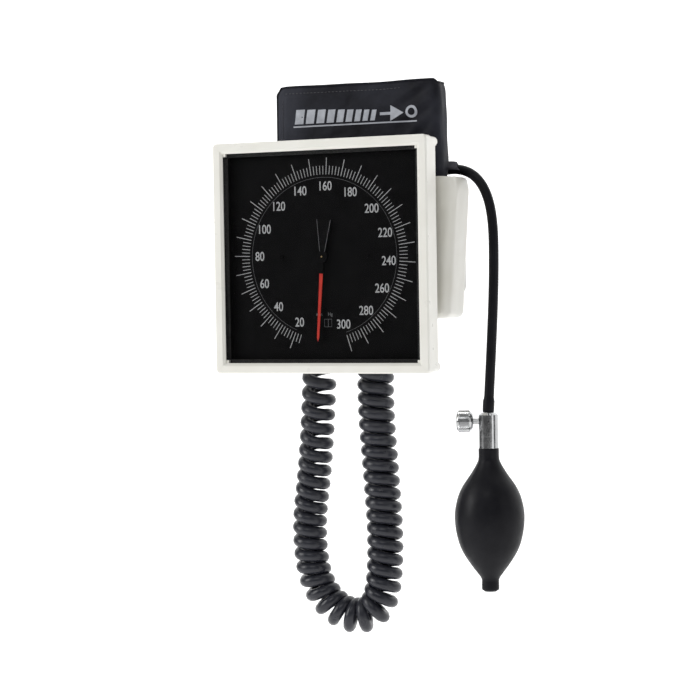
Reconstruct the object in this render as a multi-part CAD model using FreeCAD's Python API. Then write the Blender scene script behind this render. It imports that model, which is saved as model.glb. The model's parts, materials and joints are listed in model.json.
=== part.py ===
import FreeCAD, Part
import math
import os

# Wall-mounted aneroid blood pressure gauge with storage basket, folded cuff, coiled hose and bulb.
# Millimetres. The wall is the plane y = 0, the object stands out towards -y, +z is up and
# the origin is the centre of the wall plate's screw pattern.

V = FreeCAD.Vector
pi = math.pi

# ---------------------------------------------------------------- driving dimensions
CASE = 164.8            # outer width and height of the gauge case
OPENING = 150.0         # square dial opening (a 6 inch dial)
GZ = -10.0              # height of the dial centre
FRONT = -71.5           # front plane of the bezel
LIP = -70.0             # plane of the opening's edge
LENS_T = 2.0
DIAL = -62.7            # front face of the dial
DIAL_T = 1.2
PART_LINE = -62.0       # where bezel and rear cover meet
COVER_BACK = -48.0      # back of the cover around its raised housing
HOUSING_BACK = -44.0    # back of the raised housing that takes the movement
WALL_T = 2.0            # moulded wall thickness
POINTER_LEN = 60.0      # centre to tip
POINTER_REST = 176.0    # degrees to the left of straight up at zero pressure
RATIO = 10.0            # pointer turns per sector turn

BW_TOP = 90.8           # half width of the basket at the rim shoulder
BW_LOW = 85.0           # half width near its floor
B_TOP = 47.0            # rim height
B_LOW = -55.0           # underside
B_FRONT = -42.0
B_BACK = -3.0
PLATE_T = 3.0           # wall plate
BOLT_X = 156.0          # wall screw spacing
BOLT_Z = 60.0
BOLT_R = 2.6

CUFF_Z0 = -38.8         # lower edge of the folded cuff
CUFF_Z1 = 114.0         # upper edge
CUFF_L = -47.5          # left edge of the front panel
CUFF_R = 71.0           # right end of the flat front panel
CORNER_R = 4.0          # middle of the strip at the two corners of the right-hand fold
FRONT_MID = -34.0       # middle planes of the three panels
BACK_MID = -17.5
INNER_MID = -24.5
SKIN = 1.3              # coated fabric
CUFF_T = 4.0            # two fabrics with the bladder between

HOSE_D = 7.0
COIL_OD = 25.0
COIL_TUBE = 8.0

VALVE_X = 108.6
VALVE_Y = -26.0
VALVE_TOP = -121.5
VALVE_LOW = -146.5
VALVE_D = 14.0
VALVE_TURN = 18.0       # the thumbscrew points to the left and a little out from the wall
KNOB_D = 15.2
KNOB_L = 12.0
BULB_D = 48.6
BULB_LOW = -247.0

RUN = 0.05              # running clearance on pivots
GAP = 0.1               # assembly gap

os.makedirs("parts", exist_ok=True)


# ---------------------------------------------------------------- helpers
def box(x0, x1, y0, y1, z0, z1):
    return Part.makeBox(x1 - x0, y1 - y0, z1 - z0, V(x0, y0, z0))


def cyl(p, d, r, h):
    return Part.makeCylinder(r, h, V(*p), V(*d))


def ycyl(x, z, r, y0, y1):
    return cyl((x, y0, z), (0, 1, 0), r, y1 - y0)


def zcyl(x, y, r, z0, z1):
    return cyl((x, y, z0), (0, 0, 1), r, z1 - z0)


def revolve_y(x, z, pts):
    """Closed profile of (radius, y) points turned about the y line through (x, z)."""
    wire = Part.makePolygon([V(x + r, y, z) for r, y in pts + pts[:1]])
    return Part.Face(wire).revolve(V(x, 0, z), V(0, 1, 0), 360)


def revolve_z(x, y, pts):
    """Closed profile of (radius, z) points turned about the vertical line through (x, y)."""
    wire = Part.makePolygon([V(x + r, y, z) for r, z in pts + pts[:1]])
    return Part.Face(wire).revolve(V(x, y, 0), V(0, 0, 1), 360)


def rounded(hx0, hx1, hz0, hz1, r, y, level=None):
    """Rounded rectangle wire: in the xz plane at y, or in the xy plane at the height level."""
    c = [(hx1 - r, hz1 - r, 0), (hx0 + r, hz1 - r, 90), (hx0 + r, hz0 + r, 180), (hx1 - r, hz0 + r, 270)]

    def put(a, b):
        return V(a, y, b) if level is None else V(a, b, level)

    edges = []
    for i in range(4):
        cx, cz, a0 = c[i]
        p = [put(cx + r * math.cos(math.radians(a)), cz + r * math.sin(math.radians(a)))
             for a in (a0, a0 + 45, a0 + 90)]
        edges.append(Part.Arc(p[0], p[1], p[2]).toShape())
        nx, nz, a1 = c[(i + 1) % 4]
        q = put(nx + r * math.cos(math.radians(a1)), nz + r * math.sin(math.radians(a1)))
        edges.append(Part.LineSegment(p[2], q).toShape())
    return Part.Wire(edges)


def slab(hx, hz, r, y0, y1, cz=GZ):
    """Rounded square plate, half sizes hx and hz, between the planes y0 and y1."""
    face = Part.Face(rounded(-hx, hx, cz - hz, cz + hz, r, y0))
    return face.extrude(V(0, y1 - y0, 0))


def fuse(shapes):
    out = shapes[0].multiFuse(shapes[1:]) if len(shapes) > 1 else shapes[0]
    return out.removeSplitter()


def turned(shape, deg, p, d):
    s = shape.copy()
    s.rotate(V(*p), V(*d), deg)
    return s


def moved(shape, x, y, z):
    s = shape.copy()
    s.translate(V(x, y, z))
    return s


NODES = {}


def save(name, shape):
    NODES[name] = shape
    assert shape.Solids, name
    shape.exportStep("parts/%s.step" % name)
    print("%-22s solids %d volume %.1f valid %s" % (name, len(shape.Solids), shape.Volume, shape.isValid()))


def route(points):
    """Straight runs joined by tangent arcs, each arc's radius from the shorter run beside it."""
    pts = [V(*p) for p in points]
    edges = []
    start = pts[0]
    radii = []
    for i in range(1, len(pts) - 1):
        a = (pts[i - 1] - pts[i])
        b = (pts[i + 1] - pts[i])
        run = min(a.Length, b.Length)
        a.normalize()
        b.normalize()
        half = (pi - a.getAngle(b)) / 2.0
        cut = 0.45 * run
        radii.append(cut / math.tan(half))
        p = pts[i] + a * cut
        q = pts[i] + b * cut
        m = a + b
        m.normalize()
        centre = pts[i] + m * (radii[-1] / math.cos(half))
        mid = centre - m * radii[-1]
        edges.append(Part.LineSegment(start, p).toShape())
        edges.append(Part.Arc(p, mid, q).toShape())
        start = q
    edges.append(Part.LineSegment(start, pts[-1]).toShape())
    return Part.Wire(edges), radii


def tube(name, points, r):
    wire, radii = route(points)
    d = V(*points[1]) - V(*points[0])
    ring = Part.Wire([Part.makeCircle(r, V(*points[0]), d)])
    solid = wire.makePipeShell([ring], True, False)
    turn = " ".join("%.0f" % x for x in radii)
    print("%-22s length %.1f mm, radii %s, volume ratio %.4f"
          % (name, wire.Length, turn, solid.Volume / (pi * r * r * wire.Length)))
    return solid


def screw(x, z, y_head, y_end, r, head_r, head_h):
    """Pan-head screw along y, its head's seat at y_head, shank to y_end, with a cross slot."""
    s = 1 if y_head > y_end else -1
    y0, y1 = sorted((y_head, y_end))
    h0, h1 = sorted((y_head, y_head + s * head_h))
    body = fuse([ycyl(x, z, r, y0, y1), ycyl(x, z, head_r, h0, h1)])
    top = y_head + s * head_h
    w = head_r * 0.7
    t0, t1 = sorted((top, top - s * head_h * 0.5))
    cross = fuse([box(x - w, x + w, t0, t1, z - 0.25, z + 0.25), box(x - 0.25, x + 0.25, t0, t1, z - w, z + w)])
    return body.cut(cross)


# ---------------------------------------------------------------- wall plate and basket
HOOKS = [(-25.0, 20.0), (25.0, 20.0)]
LOCK = (0.0, -30.0)


def wall_plate():
    plate = slab(84, 38, 6, -PLATE_T, 0, cz=0)
    holes = [ycyl(sx * BOLT_X / 2, sz * BOLT_Z / 2, BOLT_R, -9, 1) for sx in (-1, 1) for sz in (-1, 1)]
    hooks = []
    for x, z in HOOKS:
        hooks += [ycyl(x, z, 2.8, -7.2, -1), ycyl(x, z, 5.6, -7.2, -5.2)]
    plate = fuse([plate] + hooks)
    plate = plate.cut(Part.Compound(holes + [ycyl(LOCK[0], LOCK[1], 1.55, -9, 1)]))
    save("wall_plate", plate)
    save("lock_screw", screw(LOCK[0], LOCK[1], B_BACK - WALL_T, -0.3, 1.5, 3.2, 1.8))


def basket_end(half, r, y0, y1, z, s):
    """Flat end piece at the height z: square on the inner side, both outer corners rounded."""
    k = r * math.sqrt(0.5)
    a = s * (half - 30)
    c = s * (half - r)
    p = [V(a, y0, z), V(c, y0, z), V(c + s * k, y0 + r - k, z), V(s * half, y0 + r, z),
         V(s * half, y1 - r, z), V(c + s * k, y1 - r + k, z), V(c, y1, z), V(a, y1, z)]
    edges = [Part.LineSegment(p[0], p[1]), Part.Arc(p[1], p[2], p[3]), Part.LineSegment(p[3], p[4]),
             Part.Arc(p[4], p[5], p[6]), Part.LineSegment(p[6], p[7]), Part.LineSegment(p[7], p[0])]
    return Part.Face(Part.Wire([e.toShape() for e in edges]))


def basket_skin(t):
    """The basket's outside, or with t its inside: flat walls, drafted ends, rounded corners and floor edge."""
    low, knee, top = B_LOW + t, 37.0, B_TOP + (1.0 if t else 0.0)
    y0, y1, r = B_FRONT + t, B_BACK - t, 8.0 - t
    half_low, half_top = BW_LOW - t, BW_TOP - t
    parts = [box(-half_low + 20, half_low - 20, y0, y1, low, top)]
    for s in (-1, 1):
        parts.append(basket_end(half_low, r, y0, y1, low, s).extrude(V(s * (half_top - half_low), 0, knee - low)))
        parts.append(basket_end(half_top, r, y0, y1, knee, s).extrude(V(-s * 0.24 * (top - knee), 0, top - knee)))
    skin = fuse(parts)
    floor = [e for e in skin.Edges if e.BoundBox.ZMax < low + 0.01]
    skin = skin.makeFillet(5.0 - t, floor)
    if not t:
        # the rim dips a little towards both ends and its outer edge is eased
        for s in (-1, 1):
            dip = Part.Face(Part.makePolygon([V(s * x, y0 - 1, z) for x, z in (
                (58, top), (95, top - 2.2), (95, top + 1), (58, top + 1), (58, top))]))
            skin = skin.cut(dip.extrude(V(0, y1 - y0 + 2, 0)))
    return skin


def basket():
    outer = basket_skin(0)
    body = outer.cut(basket_skin(WALL_T))
    # floor ribs that hold the cuff off the drain holes
    ribs = [box(x - 1, x + 1, B_FRONT + 1.5, B_BACK - 1, B_LOW + 1, CUFF_Z0 - 0.2) for x in (-60, -36, -10, 46, 64)]
    body = fuse([body] + [r.common(outer) for r in ribs])
    # raised panel edge: the front wall is sunk between two corner posts
    sunk = Part.Face(Part.makePolygon([V(x, B_FRONT - 1, z) for x, z in (
        (-87, -50), (87, -50), (87, 27), (80.5, 23), (-80.5, 23), (-87, 27), (-87, -50))]))
    body = body.cut(sunk.extrude(V(0, 1.7, 0)))
    cuts = [zcyl(x, -22, 3, B_LOW - 1, B_LOW + 3) for x in (-70, -48, -22, 55)]
    cuts += [zcyl(LEG_R[0], LEG_R[1], 7.0, B_LOW - 1, B_LOW + 3)]
    for sx in (-1, 1):
        for sz in (-1, 1):
            cuts.append(ycyl(sx * BOLT_X / 2, sz * BOLT_Z / 2, 5.0, -7, -1))
    for x, z in HOOKS:
        cuts += [ycyl(x, z, 2.9, -6, -2), box(x - 2.9, x + 2.9, -6, -2, z - 13, z), ycyl(x, z - 13, 6.0, -6, -2)]
    cuts.append(ycyl(LOCK[0], LOCK[1], 1.6, -6, -2))
    for x, z in GAUGE_SCREWS:
        cuts.append(ycyl(x, z, 1.6, B_FRONT - 1, B_FRONT + 4))
    for c in cuts:
        body = body.cut(c)
    save("basket", body)


GAUGE_SCREWS = [(-30.0, 14.0), (30.0, 14.0), (-30.0, -44.0), (30.0, -44.0)]


def bracket():
    """Flat bracket between gauge housing and basket, standing on the sunk panel."""
    back = B_FRONT + 0.7
    plate = slab(36, 35.5, 5, HOUSING_BACK, back, cz=-14)
    holes = [ycyl(x, z, 1.6, HOUSING_BACK - 1, back + 1) for x, z in GAUGE_SCREWS]
    window = slab(18, 20, 4, HOUSING_BACK - 1, back + 1, cz=-14)
    save("gauge_bracket", plate.cut(Part.Compound(holes + [window])))
    screws = [screw(x, z, B_FRONT + 2.0, -51.5, 1.5, 3.2, 1.8) for x, z in GAUGE_SCREWS]
    save("gauge_screws", Part.Compound(screws))


def grommet():
    x, y = LEG_R[0], LEG_R[1]
    ring = revolve_z(x, y, [(COIL_TUBE / 2 + 0.05, B_LOW - 1.5), (9.0, B_LOW - 1.5), (9.0, B_LOW), (6.9, B_LOW),
                            (6.9, B_LOW + WALL_T), (9.0, B_LOW + WALL_T), (9.0, B_LOW + WALL_T + 1.5),
                            (COIL_TUBE / 2 + 0.05, B_LOW + WALL_T + 1.5)])
    save("hose_grommet", ring)


# ---------------------------------------------------------------- gauge case
CORNER = CASE / 2 - 4.0
CASE_HOLES = [(sx * CORNER, GZ + sz * CORNER) for sx in (-1, 1) for sz in (-1, 1)]
PILLARS = [(-33.0, GZ), (33.0, GZ)]
PORT = (-18.0, -62.0)


def square_frustum(h0, y0, h1, y1):
    w = [Part.makePolygon([V(sx * h, y, GZ + sz * h) for sx, sz in ((-1, -1), (1, -1), (1, 1), (-1, 1), (-1, -1))])
         for h, y in ((h0, y0), (h1, y1))]
    return Part.makeLoft(w, True, True)


def bezel():
    h = CASE / 2
    body = Part.makeLoft([rounded(-hh, hh, GZ - hh, GZ + hh, r, y) for hh, r, y in (
        (h - 1.0, 2.0, FRONT), (h, 3.0, FRONT + 1.0), (h, 3.0, PART_LINE))], True, True)
    o = OPENING / 2
    body = body.cut(square_frustum(o + 2.0, FRONT - 0.1, o, LIP))
    body = body.cut(box(-o, o, LIP - 0.5, LIP + 1.5, GZ - o, GZ + o))
    seat = o + 2.5
    body = body.cut(box(-seat, seat, LIP + 0.7, PART_LINE + 1, GZ - seat, GZ + seat))
    # the four corners behind the opening carry the case screws
    lugs = [box(min(x, x * 0.93), max(x, x * 0.93), LIP + 0.7, PART_LINE, GZ + min(z, z * 0.93), GZ + max(z, z * 0.93))
            for x in (-seat - 1, seat + 1) for z in (-seat - 1, seat + 1)]
    body = fuse([body] + lugs)
    body = body.cut(Part.Compound([ycyl(x, z, 1.25, -67.5, PART_LINE + 1) for x, z in CASE_HOLES]))
    # fine mitre grooves across the four corners of the front
    line = box(-0.15, 0.15, FRONT - 1, FRONT + 0.18, GZ + 1.42 * o, GZ + 1.42 * h - 1.5)
    slope = box(-0.15, 0.15, FRONT - 1, FRONT + 0.8, GZ + 1.42 * o, GZ + 1.42 * (o + 1))
    body = body.cut(Part.Compound([turned(s, a, (0, 0, GZ), (0, 1, 0)) for a in (45, 135, 225, 315) for s in (line, slope)]))
    save("bezel", body)


def notched(half, y0, y1):
    """Square plate with its corners cut away round the case screw lugs."""
    plate = slab(half, half, 1.0, y0, y1)
    s = OPENING / 2 + 2.5
    k = (s + 1) * 0.93 - 0.3
    cuts = [box(min(a * k, a * 90), max(a * k, a * 90), y0 - 1, y1 + 1, GZ + min(b * k, b * 90), GZ + max(b * k, b * 90))
            for a in (-1, 1) for b in (-1, 1)]
    return plate.cut(Part.Compound(cuts))


def glazing():
    seat = OPENING / 2 + 2.4
    y = LIP + 0.7
    save("lens", notched(seat, y, y + LENS_T))
    y += LENS_T
    o = OPENING / 2
    hole = slab(o - 2.5, o - 2.5, 1.0, -80, -50)
    save("lens_gasket", notched(seat, y, y + 0.8).cut(hole))
    save("dial_spacer", notched(seat, y + 0.8, DIAL).cut(hole))


def dial():
    plate = notched(OPENING / 2 + 2.4, DIAL, DIAL + DIAL_T)
    holes = [ycyl(0, GZ, 2.0, -70, -50)] + [ycyl(x, z, 1.1, -70, -50) for x, z in PILLARS]
    save("dial_plate", plate.cut(Part.Compound(holes)))
    save("dial_screws", Part.Compound([screw(x, z, DIAL, -58.2, 1.0, 1.9, 0.7) for x, z in PILLARS]))


def rear_cover():
    h = CASE / 2 - 0.5
    body = Part.makeLoft([rounded(-hh, hh, GZ - hh, GZ + hh, r, y) for hh, r, y in (
        (h, 4.0, PART_LINE), (h, 4.0, COVER_BACK - 5), (h - 2.2, 6.0, COVER_BACK))], True, True)
    inner = h - 2.5
    body = body.cut(slab(inner, inner, 3.0, PART_LINE - 1, COVER_BACK - WALL_T))
    # ledge under the dial plate and posts for the case screws
    ledge = slab(inner + 0.5, inner + 0.5, 3.0, DIAL + DIAL_T, DIAL + DIAL_T + 2.5)
    ledge = ledge.cut(slab(OPENING / 2 - 1.5, OPENING / 2 - 1.5, 1.0, -70, -50))
    posts = [ycyl(x, z, 3.6, DIAL + DIAL_T, COVER_BACK - 1) for x, z in CASE_HOLES]
    housing = slab(38, 49, 5, COVER_BACK - 1, HOUSING_BACK, cz=-23)
    body = fuse([body, ledge, housing] + posts)
    body = body.cut(slab(36, 47, 4, COVER_BACK - 3, HOUSING_BACK - WALL_T, cz=-23))
    bosses = [ycyl(x, z, 3.8, -52.5, HOUSING_BACK - 1) for x, z in GAUGE_SCREWS]
    body = fuse([body] + bosses)
    cuts = [ycyl(x, z, 1.3, -70, -40) for x, z in CASE_HOLES]
    cuts += [ycyl(x, z, 2.7, COVER_BACK - 2.5, -40) for x, z in CASE_HOLES]
    cuts += [ycyl(x, z, 1.55, -60, -40) for x, z in GAUGE_SCREWS]
    cuts += [ycyl(x, z, 1.3, -60, -40) for x, z in PILLARS]
    cuts += [ycyl(x, z, 2.6, HOUSING_BACK - 1.0, -40) for x, z in PILLARS]
    cuts.append(ycyl(PORT[0], PORT[1], 3.05, -60, -40))
    body = body.cut(Part.Compound(cuts))
    save("rear_cover", body)
    save("case_screws", Part.Compound([screw(x, z, COVER_BACK - 2.5, -66.5, 1.2, 2.5, 1.6) for x, z in CASE_HOLES]))


# ---------------------------------------------------------------- movement
SZ = GZ - 19.8          # sector pivot height
CZ = SZ + 5.85          # capsule centre height
FP0, FP1 = -60.0, -59.0     # front plate
BP0, BP1 = -56.4, -55.4     # back plate
ROCK_Y = -53.8


def plates():
    front = fuse([box(-37, 37, FP0, FP1, GZ - 5, GZ + 5), box(-13, 13, FP0, FP1, SZ - 5, GZ + 7)])
    front = fuse([front] + [ycyl(x, z, 3.2, DIAL + DIAL_T, FP1) for x, z in PILLARS])
    posts = [(-11, GZ + 4.5), (11, GZ + 4.5), (-11, SZ - 3), (11, SZ - 3)]
    holes = [ycyl(0, GZ, 0.6 + RUN, -62, -58), ycyl(0, SZ, 0.8 + RUN, -62, -58)]
    holes += [ycyl(x, z, 1.05, -63, -58) for x, z in PILLARS]
    holes += [ycyl(x, z, 0.75, -62, -58) for x, z in posts]
    save("movement_front_plate", front.cut(Part.Compound(holes)))
    back = box(-13, 13, BP0, BP1, SZ - 5, GZ + 7)
    lugs = [box(x, x + 1.2, BP1 - 0.2, ROCK_Y + 1.4, SZ - 1.4, SZ + 1.4) for x in (-9.2, 8.0)]
    back = fuse([back] + lugs)
    holes = [ycyl(0, GZ, 0.6 + RUN, -57, -55), ycyl(0, SZ, 0.8 + RUN, -57, -55)]
    holes += [cyl((-12, ROCK_Y, SZ), (1, 0, 0), 0.6 + RUN, 24)]
    holes += [box(-1.8, 1.8, -57, -55, SZ + 2.2, SZ + 8.5), box(-4.2, -1.3, -57, -55, SZ - 2.6, SZ + 2.6)]
    holes += [ycyl(x, z, 0.75, -57, -55) for x, z in posts]
    save("movement_back_plate", back.cut(Part.Compound(holes)))
    pins = [fuse([ycyl(x, z, 1.6, FP1, BP0), ycyl(x, z, 0.7, FP0, BP1)]) for x, z in posts]
    save("movement_posts", Part.Compound(pins))
    pillars = [ycyl(x, z, 2.5, FP1, HOUSING_BACK - WALL_T) for x, z in PILLARS]
    pillars = [p.cut(ycyl(x, z, 1.05, -63, -57.6)).cut(ycyl(x, z, 1.05, -50, -40)) for p, (x, z) in zip(pillars, PILLARS)]
    save("movement_pillars", Part.Compound(pillars))
    screws = [screw(x, z, HOUSING_BACK - 1.0, -49.6, 1.0, 2.4, 0.9) for x, z in PILLARS]
    save("movement_screws", Part.Compound(screws))


def tooth(cx, cz, r0, r1, w0, w1, deg, y0, y1):
    """Trapezoid tooth from radius r0 to r1, pointing deg clockwise from up seen from the front."""
    pts = [(-w0 / 2, r0), (-w1 / 2, r1), (w1 / 2, r1), (w0 / 2, r0), (-w0 / 2, r0)]
    face = Part.Face(Part.makePolygon([V(cx + x, y0, cz + z) for x, z in pts]))
    return turned(face.extrude(V(0, y1 - y0, 0)), deg, (cx, 0, cz), (0, 1, 0))


def sector():
    y0, y1 = -58.4, -57.4
    ring = ycyl(0, SZ, 17.6, y0, y1).cut(ycyl(0, SZ, 14.6, y0 - 1, y1 + 1))
    big = 40.0
    w = []
    for a in (-5, 17, 39.5):
        w.append(V(big * math.sin(math.radians(a)), y0 - 1, SZ + big * math.cos(math.radians(a))))
    wedge = Part.Face(Part.makePolygon([V(0, y0 - 1, SZ), w[0], w[1], w[2], V(0, y0 - 1, SZ)])).extrude(V(0, 4, 0))
    ring = ring.common(wedge)
    arms = [turned(box(-0.9, 0.9, y0, y1, SZ, SZ + 15), a, (0, 0, SZ), (0, 1, 0)) for a in (-2, 36.5)]
    tail = turned(box(-4.4, 0, y0, y1, SZ - 0.4, SZ + 0.4), 17, (0, 0, SZ), (0, 1, 0))
    teeth = [tooth(0, SZ, 17.4, 18.2, 0.62, 0.28, a, y0, y1) for a in [-1.5 + 3 * k for k in range(14)]]
    hub = ycyl(0, SZ, 1.5, y0, y1)
    body = fuse([ring, hub, tail, ycyl(0, SZ, 0.8, FP0 + 0.1, BP1 - 0.1)] + arms + teeth)
    save("sector_gear", body)


def arbor():
    shaft = ycyl(0, GZ, 0.6, -66.2, BP1 + 0.1)
    core = ycyl(0, GZ, 1.45, -58.8, -57.0)
    collet = ycyl(0, GZ, 1.0, -61.2, -60.3)
    teeth = [tooth(0, GZ, 1.3, 2.0, 0.6, 0.26, 180 + 30 * k, -58.8, -57.0) for k in range(12)]
    save("pinion_arbor", fuse([shaft, core, collet] + teeth))


def hairspring():
    """Flat spiral spring between collet and stud, as one thin strip."""
    left, right = [], []
    turns = 4.5
    n = 72
    for i in range(n + 1):
        a = 2 * pi * turns * i / n
        r = 1.2 + 4.6 * i / n
        left.append(V(r * math.sin(a), -61.1, GZ + r * math.cos(a)))
        right.append(V((r + 0.25) * math.sin(a), -61.1, GZ + (r + 0.25) * math.cos(a)))
    a = Part.BSplineCurve()
    a.interpolate(left)
    b = Part.BSplineCurve()
    b.interpolate(right)
    edges = [a.toShape(), Part.LineSegment(left[-1], right[-1]).toShape(), b.toShape(),
             Part.LineSegment(right[0], left[0]).toShape()]
    face = Part.Face(Part.Wire(Part.__sortEdges__(edges)))
    spring = face.extrude(V(0, 0.6, 0))
    end = left[-1]
    stud = ycyl(end.x, end.z - 0.35, 0.7, -61.2, FP0)
    save("hairspring", fuse([spring, stud]))


def pointer():
    y0, y1 = -65.5, -65.0
    black = Part.Face(Part.makePolygon([V(x, y0, GZ + z) for x, z in (
        (-1.3, 0), (-1.3, 12), (1.3, 12), (1.3, 0), (-1.3, 0))])).extrude(V(0, 0.5, 0))
    tail = Part.Face(Part.makePolygon([V(x, y0, GZ + z) for x, z in (
        (-1.3, 0), (1.3, 0), (5.5, -26), (-5.5, -26), (-1.3, 0))])).extrude(V(0, 0.5, 0))
    hub = ycyl(0, GZ, 4.0, -66.2, -64.4)
    body = fuse([black, tail, hub]).cut(ycyl(0, GZ, 0.6, -70, -60))
    red = Part.Face(Part.makePolygon([V(x, y0, GZ + z) for x, z in (
        (-1.3, 12), (-0.8, POINTER_LEN - 2.5), (0, POINTER_LEN), (0.8, POINTER_LEN - 2.5), (1.3, 12), (-1.3, 12))]))
    red = red.extrude(V(0, y1 - y0, 0))
    save("pointer_hub", turned(body, -POINTER_REST, (0, 0, GZ), (0, 1, 0)))
    save("pointer_blade", turned(red, -POINTER_REST, (0, 0, GZ), (0, 1, 0)))


def rocker():
    """Rocking shaft: the capsule lifts its upper arm, and its finger turns the sector."""
    shaft = cyl((-9.8, ROCK_Y, SZ), (1, 0, 0), 0.6, 19.6)
    arm = box(-1.2, 1.2, ROCK_Y - 0.4, ROCK_Y + 0.4, SZ, SZ + 6.6)
    finger = box(-3.2, -2.0, -58.3, ROCK_Y, SZ + 0.75, SZ + 1.35)
    root = box(-3.2, -2.0, ROCK_Y - 0.8, ROCK_Y + 0.4, SZ, SZ + 1.35)
    finger = turned(fuse([finger, root]), -10, (0, ROCK_Y, SZ), (1, 0, 0))
    collars = [cyl((x, ROCK_Y, SZ), (1, 0, 0), 1.1, 0.8) for x in (-7.6, 6.8)]
    save("rocking_shaft", fuse([shaft, arm, finger] + collars))


def capsule():
    x, z = 0.0, CZ
    base = revolve_y(x, z, [(0, -46.0), (3.0, -46.0), (3.0, -47.1), (23.0, -47.1), (25.0, -48.0), (25.0, -49.4),
                            (22.0, -49.4), (21.0, -48.1), (0, -48.1)])
    nx = PORT[0]
    nz = z - math.sqrt(25.0 ** 2 - nx ** 2)
    base = fuse([base, zcyl(nx, -49.3, 1.2, nz - 5, nz + 2).cut(ycyl(x, z, 23.4, -60, -40)),
                 box(nx - 1.6, nx + 1.6, -50.4, -48.0, nz - 1.0, nz + 1.2).cut(ycyl(x, z, 24.4, -60, -40))])
    base = base.cut(ycyl(x, z, 25.05, -52, -49.4))
    save("capsule_base", base)
    front = [(25.0, -49.4), (25.0, -49.8), (22.0, -49.8)]
    lower = [(22.0, -49.4)]
    ridges = 5
    for i in range(ridges * 2):
        r = 21.0 - i * 1.7
        up = 0.9 if i % 2 == 0 else 0.0
        front.append((r, -49.8 - up - 0.1 * i))
        lower.append((r, -49.4 - up - 0.1 * i))
    front += [(3.5, -51.2), (0, -51.2)]
    lower += [(3.5, -50.8), (0, -50.8)]
    save("capsule_diaphragm", revolve_y(x, z, front + lower[::-1]))
    head = revolve_y(x, z, [(0, -51.2), (3.0, -51.2), (3.0, -51.7), (1.5, -51.9), (0.9, -52.9), (0, -53.1)])
    save("capsule_head", head)


def gauge_port():
    x, z = PORT
    y = LEG_L[1]
    low = LEG_L[2]
    body = ycyl(x, z, 3.0, -51.6, y)
    flange = ycyl(x, z, 5.5, HOUSING_BACK, HOUSING_BACK + 1.6)
    flange2 = ycyl(x, z, 4.4, HOUSING_BACK - WALL_T - 1.2, HOUSING_BACK - WALL_T)
    nipple = zcyl(x, -49.3, 1.2, z, z + 8)
    drop = zcyl(x, y, 3.0, low, z + 3.0)
    barb = revolve_z(x, y, [(0, low - 8), (2.0, low - 8), (2.6, low - 5), (2.0, low - 5), (2.6, low - 2), (2.0, low - 2),
                            (2.0, low), (3.0, low + 0.0), (3.0, low + 1), (0, low + 1)])
    shape = fuse([body, flange, flange2, nipple, drop, barb])
    save("gauge_port", shape)
    inner = zcyl(x, -49.3, 1.9, z + 3.6, CZ - math.sqrt(25.0 ** 2 - x ** 2) - 2.2)
    save("inner_tube", inner.cut(zcyl(x, -49.3, 1.22, -80, 0)))


# ---------------------------------------------------------------- coiled hose
LEG_L = (-18.0, -32.0, -69.0)       # where the coil's straight end meets the gauge port
LEG_R = (23.4, -25.5, -34.0)        # top of the other straight end, inside the basket
COIL_TOP_L = -82.0
COIL_TOP_R = -72.0
COIL = [(-18.0, -32.0, COIL_TOP_L), (-20.0, -31.0, -118.0), (-24.6, -29.0, -164.0), (-31.8, -27.0, -208.0),
        (-27.0, -26.0, -250.0), (-4.0, -25.5, -272.0), (24.0, -25.2, -267.0), (29.5, -25.5, -222.0),
        (26.0, -25.5, -164.0), (22.5, -25.5, -120.0), (23.4, -25.5, COIL_TOP_R)]


def coil_hose():
    fat = tube("coil_hose", COIL, COIL_OD / 2)
    x, y, z = LEG_L
    left = zcyl(x, y, COIL_TUBE / 2, COIL_TOP_L - 1, z)
    x, y, z = LEG_R
    right = zcyl(x, y, COIL_TUBE / 2, COIL_TOP_R - 1, z)
    save("coil_hose", fuse([fat, left, right]))


def couplings():
    x, y, z = LEG_R
    female = revolve_z(x, y, [(0, z), (4.6, z), (5.4, z + 1), (5.4, z + 7), (4.8, z + 8), (4.8, z + 11), (0, z + 11)])
    save("coupling_socket", female)
    z += 11
    male = revolve_z(x, y, [(0, z), (4.8, z), (5.4, z + 0.8), (5.4, z + 5), (4.2, z + 7), (3.0, z + 7), (3.0, z + 8),
                            (2.0, z + 8), (2.5, z + 10), (2.0, z + 10), (2.5, z + 13), (2.0, z + 15), (0, z + 15)])
    save("coupling_plug", male)


# ---------------------------------------------------------------- folded cuff
LEFT_R = (BACK_MID - INNER_MID) / 2
LEFT_X = -38.0
INNER_END = 0.0


def left_fold(cx, cy, r0, r1, z0, z1):
    ring = zcyl(cx, cy, r1, z0, z1).cut(zcyl(cx, cy, r0, z0 - 1, z1 + 1))
    return ring.common(box(cx - 60, cx, cy - 60, cy + 60, z0, z1))


def right_fold(t0, t1, z0, z1):
    """The square fold at the right: two round corners with a flat side between them."""
    y0, y1 = FRONT_MID + CORNER_R, BACK_MID - CORNER_R
    x = CUFF_R + CORNER_R
    parts = [box(x + t0, x + t1, y0, y1, z0, z1)]
    for cy, low, high in ((y0, y0 - 20, y0), (y1, y1, y1 + 20)):
        ring = zcyl(CUFF_R, cy, CORNER_R + t1, z0, z1).cut(zcyl(CUFF_R, cy, CORNER_R + t0, z0 - 1, z1 + 1))
        parts.append(ring.common(box(CUFF_R, CUFF_R + 20, low, high, z0, z1)))
    return fuse(parts)


def band(t0, t1, z0, z1):
    """A layer of the folded cuff, t0 to t1 outward from its middle surface."""
    cl = (BACK_MID + INNER_MID) / 2
    parts = [box(CUFF_L, CUFF_R, FRONT_MID - t1, FRONT_MID - t0, z0, z1),
             right_fold(t0, t1, z0, z1),
             box(LEFT_X, CUFF_R, BACK_MID + t0, BACK_MID + t1, z0, z1),
             left_fold(LEFT_X, cl, LEFT_R + t0, LEFT_R + t1, z0, z1),
             box(LEFT_X, INNER_END, INNER_MID - t1, INNER_MID - t0, z0, z1)]
    return fuse(parts)


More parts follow.
